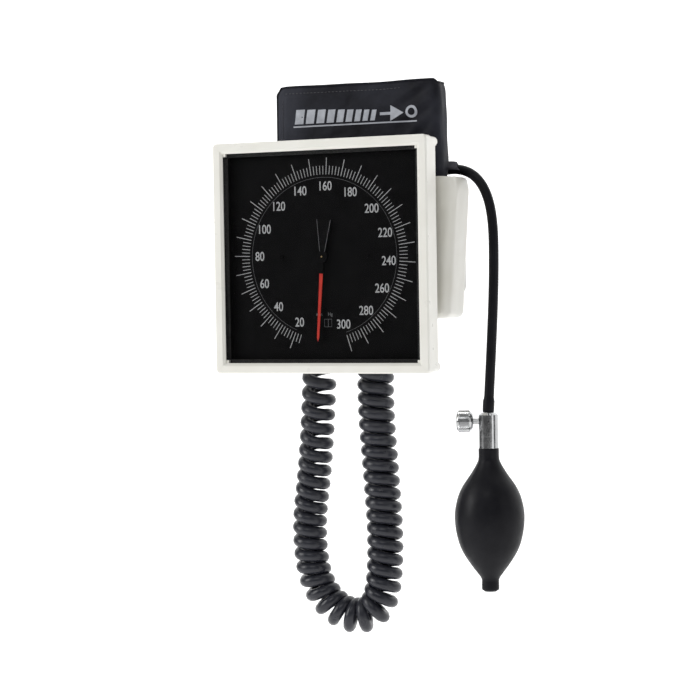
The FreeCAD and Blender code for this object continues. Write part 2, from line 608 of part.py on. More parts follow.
PORT_A = (LEG_R[0], 30.0)       # bladder port to the gauge, inside the fold
PORT_B = (45.0, -4.0)           # bladder port to the bulb, on the back panel
HOSE_Y = -10.4


def cuff():
    half = CUFF_T / 2
    t_in = half - SKIN
    hole_a = cyl((PORT_A[0], FRONT_MID + 0.1, PORT_A[1]), (0, 1, 0), 3.3, 5)
    hole_b = cyl((PORT_B[0], BACK_MID + 0.1, PORT_B[1]), (0, 1, 0), 3.3, 5)
    save("cuff_outer_fabric", band(t_in, half, CUFF_Z0, CUFF_Z1).cut(hole_b))
    save("cuff_inner_fabric", band(-half, -t_in, CUFF_Z0, CUFF_Z1).cut(hole_a))
    top = band(-t_in, t_in, CUFF_Z1 - 5, CUFF_Z1)
    low = band(-t_in, t_in, CUFF_Z0, CUFF_Z0 + 5)
    end = box(CUFF_L, CUFF_L + 5, FRONT_MID - t_in, FRONT_MID + t_in, CUFF_Z0, CUFF_Z1)
    end2 = box(INNER_END - 5, INNER_END, INNER_MID - t_in, INNER_MID + t_in, CUFF_Z0, CUFF_Z1)
    save("cuff_seam_welt", fuse([top, low, end, end2]))
    b = t_in - GAP
    z0, z1 = CUFF_Z0 + 7, CUFF_Z1 - 7
    blad = fuse([box(CUFF_L + 7, CUFF_R, FRONT_MID - b, FRONT_MID + b, z0, z1),
                 right_fold(-b, b, z0, z1),
                 box(20, CUFF_R, BACK_MID - b, BACK_MID + b, z0, z1)])
    save("bladder", blad)
    inner_face = FRONT_MID + half
    save("hook_patch", box(-43.5, -6, inner_face, inner_face + 1.6, CUFF_Z0 + 15, CUFF_Z1 - 12))
    y = INNER_MID - half
    save("loop_patch", box(-36, -4, y - 1.2, y, CUFF_Z0 + 12, CUFF_Z1 - 10))
    outer_face = FRONT_MID - half
    save("range_label", box(-35, 64, outer_face - 0.3, outer_face, 85, 98))


def bladder_ports():
    x, z = PORT_A
    b = CUFF_T / 2 - SKIN - GAP
    y0 = FRONT_MID + b
    y = LEG_R[1]
    body = fuse([ycyl(x, z, 3.1, y0, y), ycyl(x, z, 6.0, FRONT_MID + CUFF_T / 2, FRONT_MID + CUFF_T / 2 + 1.0),
                 zcyl(x, y, 3.1, z - 3, z + 3.1), zcyl(x, y, 2.2, z - 11, z - 3)])
    save("bladder_port_gauge", body)
    x, z = PORT_B
    y0 = BACK_MID + b
    body = fuse([ycyl(x, z, 3.1, y0, HOSE_Y), ycyl(x, z, 6.0, BACK_MID + CUFF_T / 2, BACK_MID + CUFF_T / 2 + 0.8),
                 zcyl(x, HOSE_Y, 3.1, z - 3.1, z + 3), zcyl(x, HOSE_Y, 2.2, z + 3, z + 11)])
    save("bladder_port_bulb", body)
    x, y, z = LEG_R
    top = PORT_A[1] - 3.0
    low = z + 11 + 8
    save("bladder_tube", zcyl(x, y, HOSE_D / 2, low, top))


BULB_HOSE = [(45.0, HOSE_Y, -1.0), (46.5, HOSE_Y, 27.0), (62.0, HOSE_Y, 49.0), (84.5, HOSE_Y - 0.2, 52.4),
             (100.8, HOSE_Y - 1.8, 43.0), (110.4, HOSE_Y - 5.1, 20.0), (112.4, -20.0, -22.0),
             (111.2, -24.5, -76.0), (VALVE_X, VALVE_Y, VALVE_TOP)]


def bulb_hose():
    save("bulb_hose", tube("bulb_hose", BULB_HOSE, HOSE_D / 2))
    sleeve = turned(cyl((71.5, HOSE_Y - 0.2, 50.6), (1, 0, 0), 4.6, 13), -6, (71.5, 0, 50.6), (0, 1, 0))
    save("tube_sleeve", sleeve)


# ---------------------------------------------------------------- valve and bulb
def valve_place(shape):
    return turned(shape, VALVE_TURN, (VALVE_X, VALVE_Y, 0), (0, 0, 1))


STEM_Z = -127.5


def valve():
    x, y = VALVE_X, VALVE_Y
    r = VALVE_D / 2
    top, low = VALVE_TOP, VALVE_LOW
    body = revolve_z(x, y, [(0, top + 9), (2.0, top + 9), (2.6, top + 6), (2.0, top + 6), (2.6, top + 3), (2.0, top + 3),
                            (2.0, top), (r - 2.0, top), (r, top - 1.6), (r, low), (5.0, low), (5.0, low - 9),
                            (4.2, low - 10), (0, low - 10)])
    bore = fuse([zcyl(x, y, 1.3, STEM_Z, top + 12), zcyl(x, y, 2.2, low - 12, STEM_Z - 5),
                 zcyl(x, y, 0.9, STEM_Z - 6, STEM_Z + 1)])
    side = cyl((x - r - 2, y, STEM_Z), (1, 0, 0), 2.1, r + 0.5)
    vent = cyl((x, y - r - 1, STEM_Z), (0, 1, 0), 0.6, r + 2)
    save("valve_body", valve_place(body.cut(Part.Compound([bore, side, vent]))))
    # needle, thumbscrew stem and knurled head on one axis, pointing to -x before the turn
    seat = x - 1.45

    def turn_x(pts):
        wire = Part.makePolygon([V(seat - a, y, STEM_Z + b) for a, b in pts + pts[:1]])
        return Part.Face(wire).revolve(V(x, y, STEM_Z), V(1, 0, 0), 360)

    needle = turn_x([(0.1, 0), (0.1, 0.4), (1.6, 1.2), (1.6, 0)])
    save("valve_needle", valve_place(needle))
    k0 = r + 3.4 - 1.45
    stem = turn_x([(1.6, 0), (1.6, 1.6), (2.6, 1.6), (2.6, 1.2), (3.8, 1.2), (3.8, 2.0), (k0 - 1, 2.0), (k0 + 2, 2.0), (k0 + 2, 0)])
    save("valve_stem", valve_place(stem))
    ring = turn_x([(2.65, 1.25), (2.65, 2.0), (3.75, 2.0), (3.75, 1.25)])
    save("valve_o_ring", valve_place(ring))
    kr = KNOB_D / 2
    knob = turn_x([(k0 + 2, 0), (k0 + 2, 2.0), (k0 - 0.5, 2.0), (k0, 4.2), (k0 + 2.0, kr - 0.6), (k0 + 2.6, kr), (k0 + KNOB_L - 1.6, kr),
                   (k0 + KNOB_L - 0.4, kr - 1.4), (k0 + KNOB_L, kr - 3.0), (k0 + KNOB_L, 0)])
    knurl = []
    for i in range(24):
        a = 15.0 * i
        g = box(seat - (k0 + KNOB_L - 1.4), seat - (k0 + 2.6), y - 0.3, y + 0.3, STEM_Z + kr - 0.35, STEM_Z + kr + 1)
        knurl.append(turned(g, a, (x, y, STEM_Z), (1, 0, 0)))
    save("thumbscrew_knob", valve_place(knob.cut(Part.Compound(knurl))))


def bulb():
    x, y = VALVE_X, VALVE_Y
    top, low = VALVE_LOW, BULB_LOW
    neck = 7.2
    full = BULB_D / 2
    belly = [(0.57, 19), (0.85, 30), (0.976, 41), (1.0, 49), (0.968, 59), (0.85, 70), (0.63, 80)]
    pts_out = [(neck, top), (neck, top - 7), (8.6, top - 11)] + [(full * k, top - d) for k, d in belly]
    pts_out += [(9.5, top - 87.5), (6.6, top - 91), (6.1, low + 8), (6.1, low)]

    outer_edges = [Part.LineSegment(V(x + neck, y, top), V(x + neck, y, top - 7)).toShape()]
    c = Part.BSplineCurve()
    c.interpolate([V(x + r, y, z) for r, z in pts_out[1:-1]])
    outer_edges.append(c.toShape())
    outer_edges += [Part.LineSegment(V(x + 6.1, y, low + 8), V(x + 6.1, y, low)).toShape(),
                    Part.LineSegment(V(x + 6.1, y, low), V(x, y, low)).toShape(),
                    Part.LineSegment(V(x, y, low), V(x, y, top)).toShape(),
                    Part.LineSegment(V(x, y, top), V(x + neck, y, top)).toShape()]
    outer = Part.Face(Part.Wire(outer_edges)).revolve(V(x, y, 0), V(0, 0, 1), 360)
    wall = 2.6
    pts_in = [(r - wall, z) for r, z in pts_out[3:-3]]
    c = Part.BSplineCurve()
    c.interpolate([V(x + r, y, z) for r, z in pts_in])
    ends = [V(x + r, y, z) for r, z in (pts_in[-1], (0, pts_in[-1][1]), (0, pts_in[0][1]), pts_in[0])]
    hollow_edges = [c.toShape()] + [Part.LineSegment(a, b).toShape() for a, b in zip(ends, ends[1:])]
    hollow = Part.Face(Part.Wire(hollow_edges)).revolve(V(x, y, 0), V(0, 0, 1), 360)
    bores = [zcyl(x, y, 5.0, top - 16, top + 1), zcyl(x, y, 3.9, low - 1, low + 20)]
    body = outer.cut(Part.Compound([hollow])).cut(Part.Compound(bores))
    save("bulb", body)
    # inlet valve pressed in the lower neck, its ball lying on the seat
    shell = revolve_z(x, y, [(0.9, low - 0.6), (4.6, low - 0.6), (4.6, low), (3.85, low), (3.85, low + 9), (2.4, low + 9),
                             (2.4, low + 3.6), (0.9, low + 2.1)])
    cage = box(x - 3.0, x + 3.0, y - 0.4, y + 0.4, low + 7.4, low + 8.6)
    save("bulb_inlet_valve", fuse([shell, cage.common(zcyl(x, y, 3.0, low, low + 10))]))
    save("inlet_ball", Part.makeSphere(2.0, V(x, y, low + 4.55)))
    # outlet flap valve and its grid, in the bore under the valve body
    z = VALVE_LOW - 10
    save("outlet_flap", revolve_z(x, y, [(0, z - 1.75), (3.2, z - 1.75), (3.2, z - 0.85), (0, z - 0.85)]))


def flap_cage():
    x, y = VALVE_X, VALVE_Y
    z = VALVE_LOW - 10
    cage = revolve_z(x, y, [(3.3, z), (4.2, z), (4.2, z - 2.6), (0.8, z - 2.6), (0.8, z - 1.8), (3.3, z - 1.8)])
    save("outlet_flap_cage", cage)


wall_plate()
basket()
bracket()
grommet()
bezel()
glazing()
dial()
rear_cover()
plates()
sector()
arbor()
hairspring()
pointer()
rocker()
capsule()
gauge_port()
coil_hose()
couplings()
cuff()
bladder_ports()
bulb_hose()
valve()
bulb()
flap_cage()
print("nodes", len(NODES))
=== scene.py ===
# %% [markdown]
# # A wall-mounted blood pressure gauge
#
# This lesson gives looks to a finished CAD model: a square aneroid gauge on a storage basket, with a
# folded cuff, a coiled hose and a hand bulb. The CAD parts are loaded as a fixed frame, in metres, with
# the wall at y = 0, the object standing out towards -y and z up. Hard parts whose shape is right keep
# their mesh and get a material. Soft, printed and knurled parts are made new, where the CAD says.

# %% Load the frame
import json
import math

import bmesh
import bpy
from mathutils import Matrix, Vector, noise


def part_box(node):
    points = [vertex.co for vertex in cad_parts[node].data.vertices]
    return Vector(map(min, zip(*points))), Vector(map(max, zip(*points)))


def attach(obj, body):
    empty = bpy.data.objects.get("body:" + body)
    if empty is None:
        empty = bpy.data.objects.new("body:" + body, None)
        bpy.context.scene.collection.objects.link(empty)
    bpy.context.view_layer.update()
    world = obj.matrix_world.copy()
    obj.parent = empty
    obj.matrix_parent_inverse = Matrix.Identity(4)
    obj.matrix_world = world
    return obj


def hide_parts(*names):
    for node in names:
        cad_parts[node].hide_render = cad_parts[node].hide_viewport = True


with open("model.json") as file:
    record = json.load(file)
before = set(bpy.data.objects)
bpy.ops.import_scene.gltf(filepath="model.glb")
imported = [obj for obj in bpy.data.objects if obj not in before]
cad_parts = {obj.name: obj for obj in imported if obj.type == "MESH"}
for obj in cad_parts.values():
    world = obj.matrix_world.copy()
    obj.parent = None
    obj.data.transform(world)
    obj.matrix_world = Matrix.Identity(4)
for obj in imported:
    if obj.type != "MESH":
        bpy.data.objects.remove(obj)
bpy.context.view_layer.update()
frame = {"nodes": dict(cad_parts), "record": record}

NODES = frame["nodes"]
MM = 0.001

# %% [markdown]
# ## Camera
#
# The object hangs a little to the left of the viewer, so its right side shows. A long lens from 1.4 m
# keeps the square case nearly square. The camera leans by a degree, as a hand-held one does.

# %% Camera
def aim(eye, target, lean):
    """Matrix of a camera at eye that looks at target, leaned by some degrees."""
    ahead = (Vector(target) - Vector(eye)).normalized()
    right = ahead.cross(Vector((0, 0, 1))).normalized()
    up = right.cross(ahead)
    c, s = math.cos(math.radians(lean)), math.sin(math.radians(lean))
    r, u = right * c + up * s, up * c - right * s
    turn = Matrix((r, u, -ahead)).transposed().to_4x4()
    return Matrix.Translation(eye) @ turn


lens_data = bpy.data.cameras.new("camera")
lens_data.lens = 102.86
lens_data.sensor_width = 36.0
camera = bpy.data.objects.new("camera", lens_data)
camera.matrix_world = aim((0.58084, -1.35326, -0.0365), (0.01889, -0.06178, -0.07609), -0.909)
bpy.context.collection.objects.link(camera)
bpy.context.scene.camera = camera
print("camera lens", lens_data.lens, "mm")

# %% [markdown]
# ## Lines for the hoses
#
# Both hoses follow a smooth NURBS line. Its control points are the CAD route's points. The line is read
# back as points, and a tube is built around them ring by ring. A mesh tube was chosen over a bevelled
# curve because the coil needs many turns and the bulb hose swells over its barb.

# %% Route and tube helpers
def add_object(name, mesh):
    obj = bpy.data.objects.new(name, mesh)
    bpy.context.collection.objects.link(obj)
    return obj


def object_from(name, mesh, look=None, smooth=False):
    """Turns a bmesh into an object with outward faces, and frees it."""
    bmesh.ops.recalc_face_normals(mesh, faces=mesh.faces)
    data = bpy.data.meshes.new(name)
    mesh.to_mesh(data)
    mesh.free()
    if smooth:
        data.shade_smooth()
    if look:
        data.materials.append(look)
    return add_object(name, data)


def baked(obj):
    """The evaluated shape of an object as a plain mesh."""
    bpy.context.view_layer.update()
    depsgraph = bpy.context.evaluated_depsgraph_get()
    return bpy.data.meshes.new_from_object(obj.evaluated_get(depsgraph))


def route_line(points, steps):
    """Points along the NURBS line whose control points are given in millimetres."""
    data = bpy.data.curves.new("route", "CURVE")
    data.dimensions = "3D"
    line = data.splines.new("NURBS")
    line.points.add(len(points) - 1)
    for p, (x, y, z) in zip(line.points, points):
        p.co = (x * MM, y * MM, z * MM, 1)
    line.order_u = 3
    line.use_endpoint_u = True
    line.resolution_u = steps
    obj = add_object("route", data)
    mesh = baked(obj)
    found = [v.co.copy() for v in mesh.vertices]
    bpy.data.objects.remove(obj)
    bpy.data.meshes.remove(mesh)
    return found


def lengths(points):
    """Distance of each point from the start, along the line."""
    out = [0.0]
    for a, b in zip(points, points[1:]):
        out.append(out[-1] + (b - a).length)
    return out


def along(points, dist, s):
    """Place and direction at the distance s along the line."""
    i = 0
    lo, hi = 0, len(dist) - 2
    while lo < hi:
        i = (lo + hi + 1) // 2
        if dist[i] <= s:
            lo = i
        else:
            hi = i - 1
    a, b = points[lo], points[lo + 1]
    return a.lerp(b, (s - dist[lo]) / max(dist[lo + 1] - dist[lo], 1e-9)), (b - a).normalized()


def table_value(table, s):
    """Straight-line value at s in a list of (s, value)."""
    for (a, va), (b, vb) in zip(table, table[1:]):
        if s <= b:
            return va + (vb - va) * max(0.0, s - a) / (b - a)
    return table[-1][1]


def ease(t):
    t = min(max(t, 0.0), 1.0)
    return t * t * (3 - 2 * t)


def tube(name, centres, radius, sides):
    """Closed round tube around the centres; radius is a function of the ring's number."""
    mesh = bmesh.new()
    side = None
    rings = []
    for i, c in enumerate(centres):
        a, b = centres[max(i - 1, 0)], centres[min(i + 1, len(centres) - 1)]
        ahead = (b - a).normalized()
        if side is None:
            side = ahead.orthogonal().normalized()
        side = (side - ahead * side.dot(ahead)).normalized()
        other = ahead.cross(side)
        ring = []
        for k in range(sides):
            t = 2 * math.pi * k / sides
            ring.append(mesh.verts.new(c + (side * math.cos(t) + other * math.sin(t)) * radius(i)))
        rings.append(ring)
    for ra, rb in zip(rings, rings[1:]):
        for k in range(sides):
            mesh.faces.new((ra[k], ra[(k + 1) % sides], rb[(k + 1) % sides], rb[k]))
    mesh.faces.new(rings[0][::-1])
    mesh.faces.new(rings[-1])
    return object_from(name, mesh, smooth=True)


# %% [markdown]
# ## Coiled hose
#
# The real one is a rubber tube moulded as a left-handed spring, hung in a long U between the gauge and
# the basket. It could be a Screw modifier bent by a curve, but then its turns would be all alike. Here
# each turn's pitch comes from a short table: stretched under the gauge where it carries the weight,
# nearly closed on the way down, and fanned out at the bottom.

# %% Coiled hose
COIL_ROUTE = [(-18, -32, -69), (-18, -32, -82), (-20, -31, -118), (-24.6, -29, -164), (-31.8, -27, -208),
              (-27, -26, -250), (-4, -25.5, -272), (24, -25.2, -267), (29.5, -25.5, -222),
              (26, -25.5, -164), (22.5, -25.5, -120), (23.4, -25.5, -72), (23.4, -25.5, -34)]
TUBE_R = 4.3 * MM
TURN_R = [(0, 8.4), (180, 8.4), (250, 9.0), (420, 9.2)]
PITCH = [(0, 11.0), (20, 12.4), (40, 11.0), (75, 10.2), (105, 9.4), (165, 9.3), (190, 10.2), (225, 10.2),
         (248, 9.4), (420, 9.4)]
LEAN = [(0, 0.75), (80, 0.6), (112, 0.15), (130, 0.0), (250, 0.0), (290, 0.3), (350, 0.0), (420, -0.25)]
coil_axis = route_line(COIL_ROUTE, 24)
coil_dist = lengths(coil_axis)
coil_end = coil_dist[-1]
PLAIN_END = 34 * MM         # straight tube at the far end, below the gauge
PER_TURN = 22
turn = math.radians(40)
s = 0.0
coil_centres = []
while s < coil_end - PLAIN_END:
    swell = ease((s - 7 * MM) / (11 * MM)) * ease((coil_end - PLAIN_END - s) / (9 * MM))
    pitch = table_value(PITCH, s / MM) * MM
    lean = table_value(LEAN, s / MM)
    wide = table_value(TURN_R, s / MM) * MM
    shift = pitch / (2 * math.pi) * lean * math.sin(turn + math.pi / 2) * swell
    place, ahead = along(coil_axis, coil_dist, min(max(s + shift, 0.0), coil_end))
    front = Vector((0, -1, 0))
    front = (front - ahead * front.dot(ahead)).normalized()
    left = ahead.cross(front)
    coil_centres.append(place + (front * math.cos(turn) - left * math.sin(turn)) * wide * swell)
    turn += 2 * math.pi / PER_TURN
    s += pitch / PER_TURN * (1 if swell > 0.3 else 2.5)
while s < coil_end:
    coil_centres.append(along(coil_axis, coil_dist, s)[0])
    s += 3 * MM
coil_centres.append(coil_axis[-1].copy())
coil_hose = tube("coiled_hose", coil_centres, lambda i: TUBE_R, 12)
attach(coil_hose, "wall_unit")
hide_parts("coil_hose")

# %% [markdown]
# ## Bulb hose
#
# A soft black tube leaves the cuff, arcs over the basket's rim and hangs down to the hand bulb. It
# stretches over the valve's barb, so its last centimetre is thicker.

# %% Bulb hose
BULB_ROUTE = [(45, -10.4, -1), (46.5, -10.4, 27), (62, -10.4, 49), (84.5, -10.6, 52.4), (100.8, -12.2, 43),
              (110.4, -15.5, 20), (112.4, -20, -22), (111.2, -24.5, -76), (108.6, -26, -121.5)]
hose_axis = route_line(BULB_ROUTE, 16)
hose_dist = lengths(hose_axis)
HOSE_R = 3.5 * MM
hose_steps = int(hose_dist[-1] / (1.6 * MM))
hose_centres = [along(hose_axis, hose_dist, hose_dist[-1] * i / hose_steps)[0]
                for i in range(hose_steps + 1)]
hose_run = [hose_dist[-1] * (1 - i / hose_steps) for i in range(hose_steps + 1)]


def hose_radius(i):
    over_barb = ease((11 * MM - hose_run[i]) / (3 * MM))
    lip = 0.25 * MM * ease((1.8 * MM - hose_run[i]) / (1 * MM))
    return HOSE_R + 0.62 * MM * over_barb - lip


bulb_hose = tube("bulb_hose_tube", hose_centres, hose_radius, 20)
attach(bulb_hose, "cuff")
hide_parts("bulb_hose")
print("bulb hose: %.3f m" % hose_dist[-1])

# %% [markdown]
# ## Finishes
#
# Each finish starts as one Principled shader. Constant values are set on its own sockets. Noise in
# object space, which has millimetre sizes here, breaks up the colour, the roughness and the surface. A
# picture texture would need unwrapping and wouldn't stay sharp.

# %% Finish helpers
def finish(name, colour, rough, **more):
    """A material with one Principled shader; more names its sockets, with _ for a space."""
    m = bpy.data.materials.new(name)
    m.use_nodes = True
    shader = m.node_tree.nodes["Principled BSDF"]
    shader.inputs["Base Color"].default_value = (*colour, 1)
    shader.inputs["Roughness"].default_value = rough
    for key, value in more.items():
        shader.inputs[key.replace("_", " ")].default_value = value
    m.diffuse_color = (*colour, 1)
    return m


def node(m, kind, inputs=None, **props):
    n = m.node_tree.nodes.new(kind)
    for key, value in props.items():
        setattr(n, key, value)
    for key, value in (inputs or {}).items():
        n.inputs[key].default_value = value
    return n


def link(m, a, b):
    m.node_tree.links.new(a, b)


def shader_of(m):
    return m.node_tree.nodes["Principled BSDF"]


def speckle(m, per_metre, detail=3.0, stretch=(1, 1, 1)):
    """Noise in object space; stretch scales its three directions."""
    place = node(m, "ShaderNodeTexCoord")
    scale = node(m, "ShaderNodeMapping", {"Scale": stretch})
    grain = node(m, "ShaderNodeTexNoise", {"Scale": per_metre, "Detail": detail, "Roughness": 0.6})
    link(m, place.outputs["Object"], scale.inputs["Vector"])
    link(m, scale.outputs["Vector"], grain.inputs["Vector"])
    return grain.outputs["Fac"]


def ramp(m, source, stops):
    """Colour ramp through (position, colour) stops."""
    r = node(m, "ShaderNodeValToRGB")
    link(m, source, r.inputs["Fac"])
    band = r.color_ramp
    while len(band.elements) < len(stops):
        band.elements.new(0.5)
    for e, (pos, colour) in zip(band.elements, stops):
        e.position = pos
        e.color = (*colour, 1)
    return r.outputs["Color"]


def tone(m, source, stops):
    link(m, ramp(m, source, stops), shader_of(m).inputs["Base Color"])


def grained(name, colour, rough, per_metre, dark, light, detail=3.0, at=(0.3, 0.7), **more):
    """A finish whose colour wanders between dark and light."""
    m = finish(name, colour, rough, **more)
    tone(m, speckle(m, per_metre, detail), [(at[0], dark), (at[1], light)])
    return m


def roughen(m, source, low, high):
    r = node(m, "ShaderNodeMapRange", {"From Min": 0.3, "From Max": 0.7, "To Min": low, "To Max": high})
    link(m, source, r.inputs["Value"])
    link(m, r.outputs["Result"], shader_of(m).inputs["Roughness"])


def relief(m, source, depth, before=None):
    """Bump of the given depth in metres; before is another bump to add to."""
    b = node(m, "ShaderNodeBump", {"Strength": 1.0, "Distance": depth})
    link(m, source, b.inputs["Height"])
    if before is not None:
        link(m, before, b.inputs["Normal"])
    link(m, b.outputs["Normal"], shader_of(m).inputs["Normal"])
    return b.outputs["Normal"]


# %% [markdown]
# ### Moulded plastic, glass and print
#
# The case is warm white gloss plastic that has yellowed a little. Its broad, very shallow ripple is the
# flow of the moulding, and the fine one its polish. The window must let the lamps through to the dial,
# so it is a black pane with a low alpha, which leaves only its gloss.

# %% Plastics and print
case_white = grained("case_white", (0.80, 0.79, 0.735), 0.32, 28, (0.82, 0.81, 0.76),
                     (0.775, 0.762, 0.70), detail=2, Coat_Weight=0.25, Coat_Roughness=0.12)
roughen(case_white, speckle(case_white, 90), 0.26, 0.4)
relief(case_white, speckle(case_white, 900, 2), 0.00002,
       relief(case_white, speckle(case_white, 14, 1), 0.0004))

# The basket's white is darker than the case's: partly its own plastic, partly painted shade for its sides,
# which turn back towards the wall.
basket_white_painted_shade = grained("basket_white_painted_shade", (0.68, 0.665, 0.61), 0.34, 24, (0.71, 0.70, 0.65),
                       (0.64, 0.625, 0.56), detail=2, Coat_Weight=0.25, Coat_Roughness=0.15)
roughen(basket_white_painted_shade, speckle(basket_white_painted_shade, 90), 0.28, 0.42)
relief(basket_white_painted_shade, speckle(basket_white_painted_shade, 14, 1), 0.0004)

dial_black = grained("dial_black", (0.004, 0.004, 0.0045), 0.6, 60, (0.0035, 0.0035, 0.004),
                     (0.0055, 0.0055, 0.006), at=(0.35, 0.65), Specular_IOR_Level=0.05)
relief(dial_black, speckle(dial_black, 1800, 1), 0.000002)

print_grey = grained("print_grey", (0.52, 0.53, 0.54), 0.55, 1400, (0.44, 0.45, 0.46),
                     (0.56, 0.57, 0.58), detail=2, at=(0.3, 0.6))

# This faint grey is the dial's faint print, and also the painted highlight on the pointer's edge wires.
faint_print_and_highlight = grained("faint_print_and_highlight", (0.13, 0.135, 0.14), 0.6, 1400, (0.10, 0.10, 0.105),
                      (0.16, 0.165, 0.17), detail=2, at=(0.3, 0.6))

plate_grey = grained("plate_grey", (0.62, 0.62, 0.60), 0.55, 50, (0.58, 0.58, 0.56), (0.66, 0.66, 0.64))
relief(plate_grey, speckle(plate_grey, 1500, 2), 0.00004)

nylon_fitting = grained("nylon_fitting", (0.045, 0.045, 0.05), 0.42, 200, (0.035, 0.035, 0.04),
                        (0.06, 0.06, 0.065))
relief(nylon_fitting, speckle(nylon_fitting, 1200, 2), 0.00003)

foam_black = finish("foam_black", (0.02, 0.02, 0.02), 0.95)
cells = node(foam_black, "ShaderNodeTexVoronoi", {"Scale": 1500.0})
link(foam_black, node(foam_black, "ShaderNodeTexCoord").outputs["Object"], cells.inputs["Vector"])
relief(foam_black, cells.outputs["Distance"], 0.0003)
tone(foam_black, cells.outputs["Distance"], [(0.1, (0.012, 0.012, 0.012)), (0.8, (0.035, 0.035, 0.035))])

lens_clear = finish("lens_clear", (0.0, 0.0, 0.0), 0.04, IOR=1.49, Alpha=0.12)
roughen(lens_clear, speckle(lens_clear, 40), 0.03, 0.07)
print("plastics ready")

# %% [markdown]
# ### Metals
#
# Brass, steel and the bronze capsule are brushed or stamped, with faint stretched grain. The valve is
# chrome-plated brass: almost a mirror, so nearly all of its look comes from what stands around it.

# %% Metals
steel = grained("steel", (0.56, 0.57, 0.58), 0.3, 120, (0.50, 0.51, 0.52), (0.62, 0.63, 0.64),
                Metallic=1.0)
roughen(steel, speckle(steel, 900, 2, (1, 1, 0.05)), 0.22, 0.4)

brass = grained("brass", (0.72, 0.52, 0.24), 0.3, 150, (0.62, 0.43, 0.18), (0.78, 0.58, 0.28),
                Metallic=1.0)
roughen(brass, speckle(brass, 800, 2, (0.05, 1, 1)), 0.22, 0.42)

bronze = grained("bronze_diaphragm", (0.62, 0.38, 0.22), 0.35, 90, (0.52, 0.30, 0.16),
                 (0.70, 0.44, 0.26), Metallic=1.0)
relief(bronze, speckle(bronze, 400), 0.00004)

chrome = grained("chrome", (0.48, 0.485, 0.49), 0.1, 160, (0.43, 0.435, 0.44), (0.53, 0.535, 0.54),
                 Metallic=1.0)
roughen(chrome, speckle(chrome, 300), 0.08, 0.16)

pointer_black = grained("pointer_black", (0.005, 0.005, 0.0055), 0.6, 300, (0.004, 0.004, 0.0045),
                        (0.006, 0.006, 0.0065), Specular_IOR_Level=0.06)

pointer_red = grained("pointer_red", (0.66, 0.035, 0.02), 0.4, 300, (0.58, 0.028, 0.016),
                      (0.74, 0.045, 0.025))
print("metals ready")

# %% [markdown]
# ### Rubber
#
# The coil is satin slate rubber with a faint mould texture; it catches soft wide highlights. The bulb
# and its hose are blacker, with a fine talc-like bloom in the roughness.

# %% Rubber
hose_slate = grained("hose_slate", (0.017, 0.018, 0.025), 0.34, 220, (0.013, 0.014, 0.020),
                     (0.022, 0.023, 0.031), Specular_IOR_Level=0.4)
roughen(hose_slate, speckle(hose_slate, 120), 0.26, 0.4)
relief(hose_slate, speckle(hose_slate, 1600, 2), 0.00003)

rubber_black = grained("rubber_black", (0.006, 0.006, 0.008), 0.5, 70, (0.0045, 0.0045, 0.0065),
                       (0.008, 0.008, 0.0105), Specular_IOR_Level=0.14)
roughen(rubber_black, speckle(rubber_black, 160), 0.36, 0.5)
relief(rubber_black, speckle(rubber_black, 1800, 3), 0.00005,
       relief(rubber_black, speckle(rubber_black, 60, 1), 0.0003))
coil_hose.data.materials.append(hose_slate)
bulb_hose.data.materials.append(rubber_black)
print("rubber ready")

# %% [markdown]
# ### Woven nylon
#
# The cuff is coated nylon. Its weave is too fine to model, a thread every third of a millimetre, so it
# is bump: two crossed wave bands on the piece's own UV map, which follows the cloth around its folds.
# Broad cloudy noise makes soft patches in the tone and the roughness. On the cuff a painted sheen lifts the
# colour towards its left edge: a painted highlight for the soft bluish sheen there.

# %% Woven nylon
def woven(name, dark, light, threads, depth, rough, painted_sheen=0.0):
    m = finish(name, dark, rough, Specular_IOR_Level=0.12)
    uv = node(m, "ShaderNodeUVMap")
    uv.uv_map = "cloth"
    bands = []
    for way in ("X", "Y"):
        w = node(m, "ShaderNodeTexWave",
                 {"Scale": threads, "Distortion": 0.6, "Detail": 1.0, "Detail Scale": 2.0})
        w.bands_direction = way
        link(m, uv.outputs["UV"], w.inputs["Vector"])
        bands.append(w.outputs["Fac"])
    both = node(m, "ShaderNodeMath", operation="MULTIPLY")
    link(m, bands[0], both.inputs[0])
    link(m, bands[1], both.inputs[1])
    creases = relief(m, speckle(m, 45, 3), 0.0012)
    relief(m, both.outputs[0], depth, creases)
    cloud_and_sheen = speckle(m, 22, 4)
    roughen(m, cloud_and_sheen, rough - 0.08, rough + 0.12)
    # Painted sheen: the colour grows lighter towards the cuff's left edge, from x = -22 mm out to -46 mm, a
    # painted highlight.
    if painted_sheen:
        parts = node(m, "ShaderNodeSeparateXYZ")
        link(m, node(m, "ShaderNodeTexCoord").outputs["Object"], parts.inputs[0])
        left = node(m, "ShaderNodeMapRange",
                    {"From Min": -0.046, "From Max": -0.022, "To Min": painted_sheen, "To Max": 0.0})
        link(m, parts.outputs["X"], left.inputs["Value"])
        both = node(m, "ShaderNodeMath", operation="ADD")
        link(m, cloud_and_sheen, both.inputs[0])
        link(m, left.outputs["Result"], both.inputs[1])
        cloud_and_sheen = both.outputs[0]
    tone(m, cloud_and_sheen, [(0.35, dark), (0.85, light)])
    return m


# The cuff's last number is the strength of its painted sheen at the left edge.
cuff_nylon = woven("cuff_nylon", (0.0035, 0.0035, 0.006), (0.036, 0.038, 0.050), 480, 0.00006, 0.5, 0.34)
cuff_welt = woven("cuff_welt", (0.006, 0.006, 0.009), (0.014, 0.014, 0.020), 600, 0.00008, 0.55)
sleeve_cloth = woven("sleeve_cloth", (0.080, 0.078, 0.092), (0.14, 0.137, 0.155), 480, 0.0001, 0.7)

thread_black = grained("thread_black", (0.02, 0.02, 0.026), 0.6, 900, (0.014, 0.014, 0.02),
                       (0.035, 0.035, 0.045), Sheen_Weight=0.2)

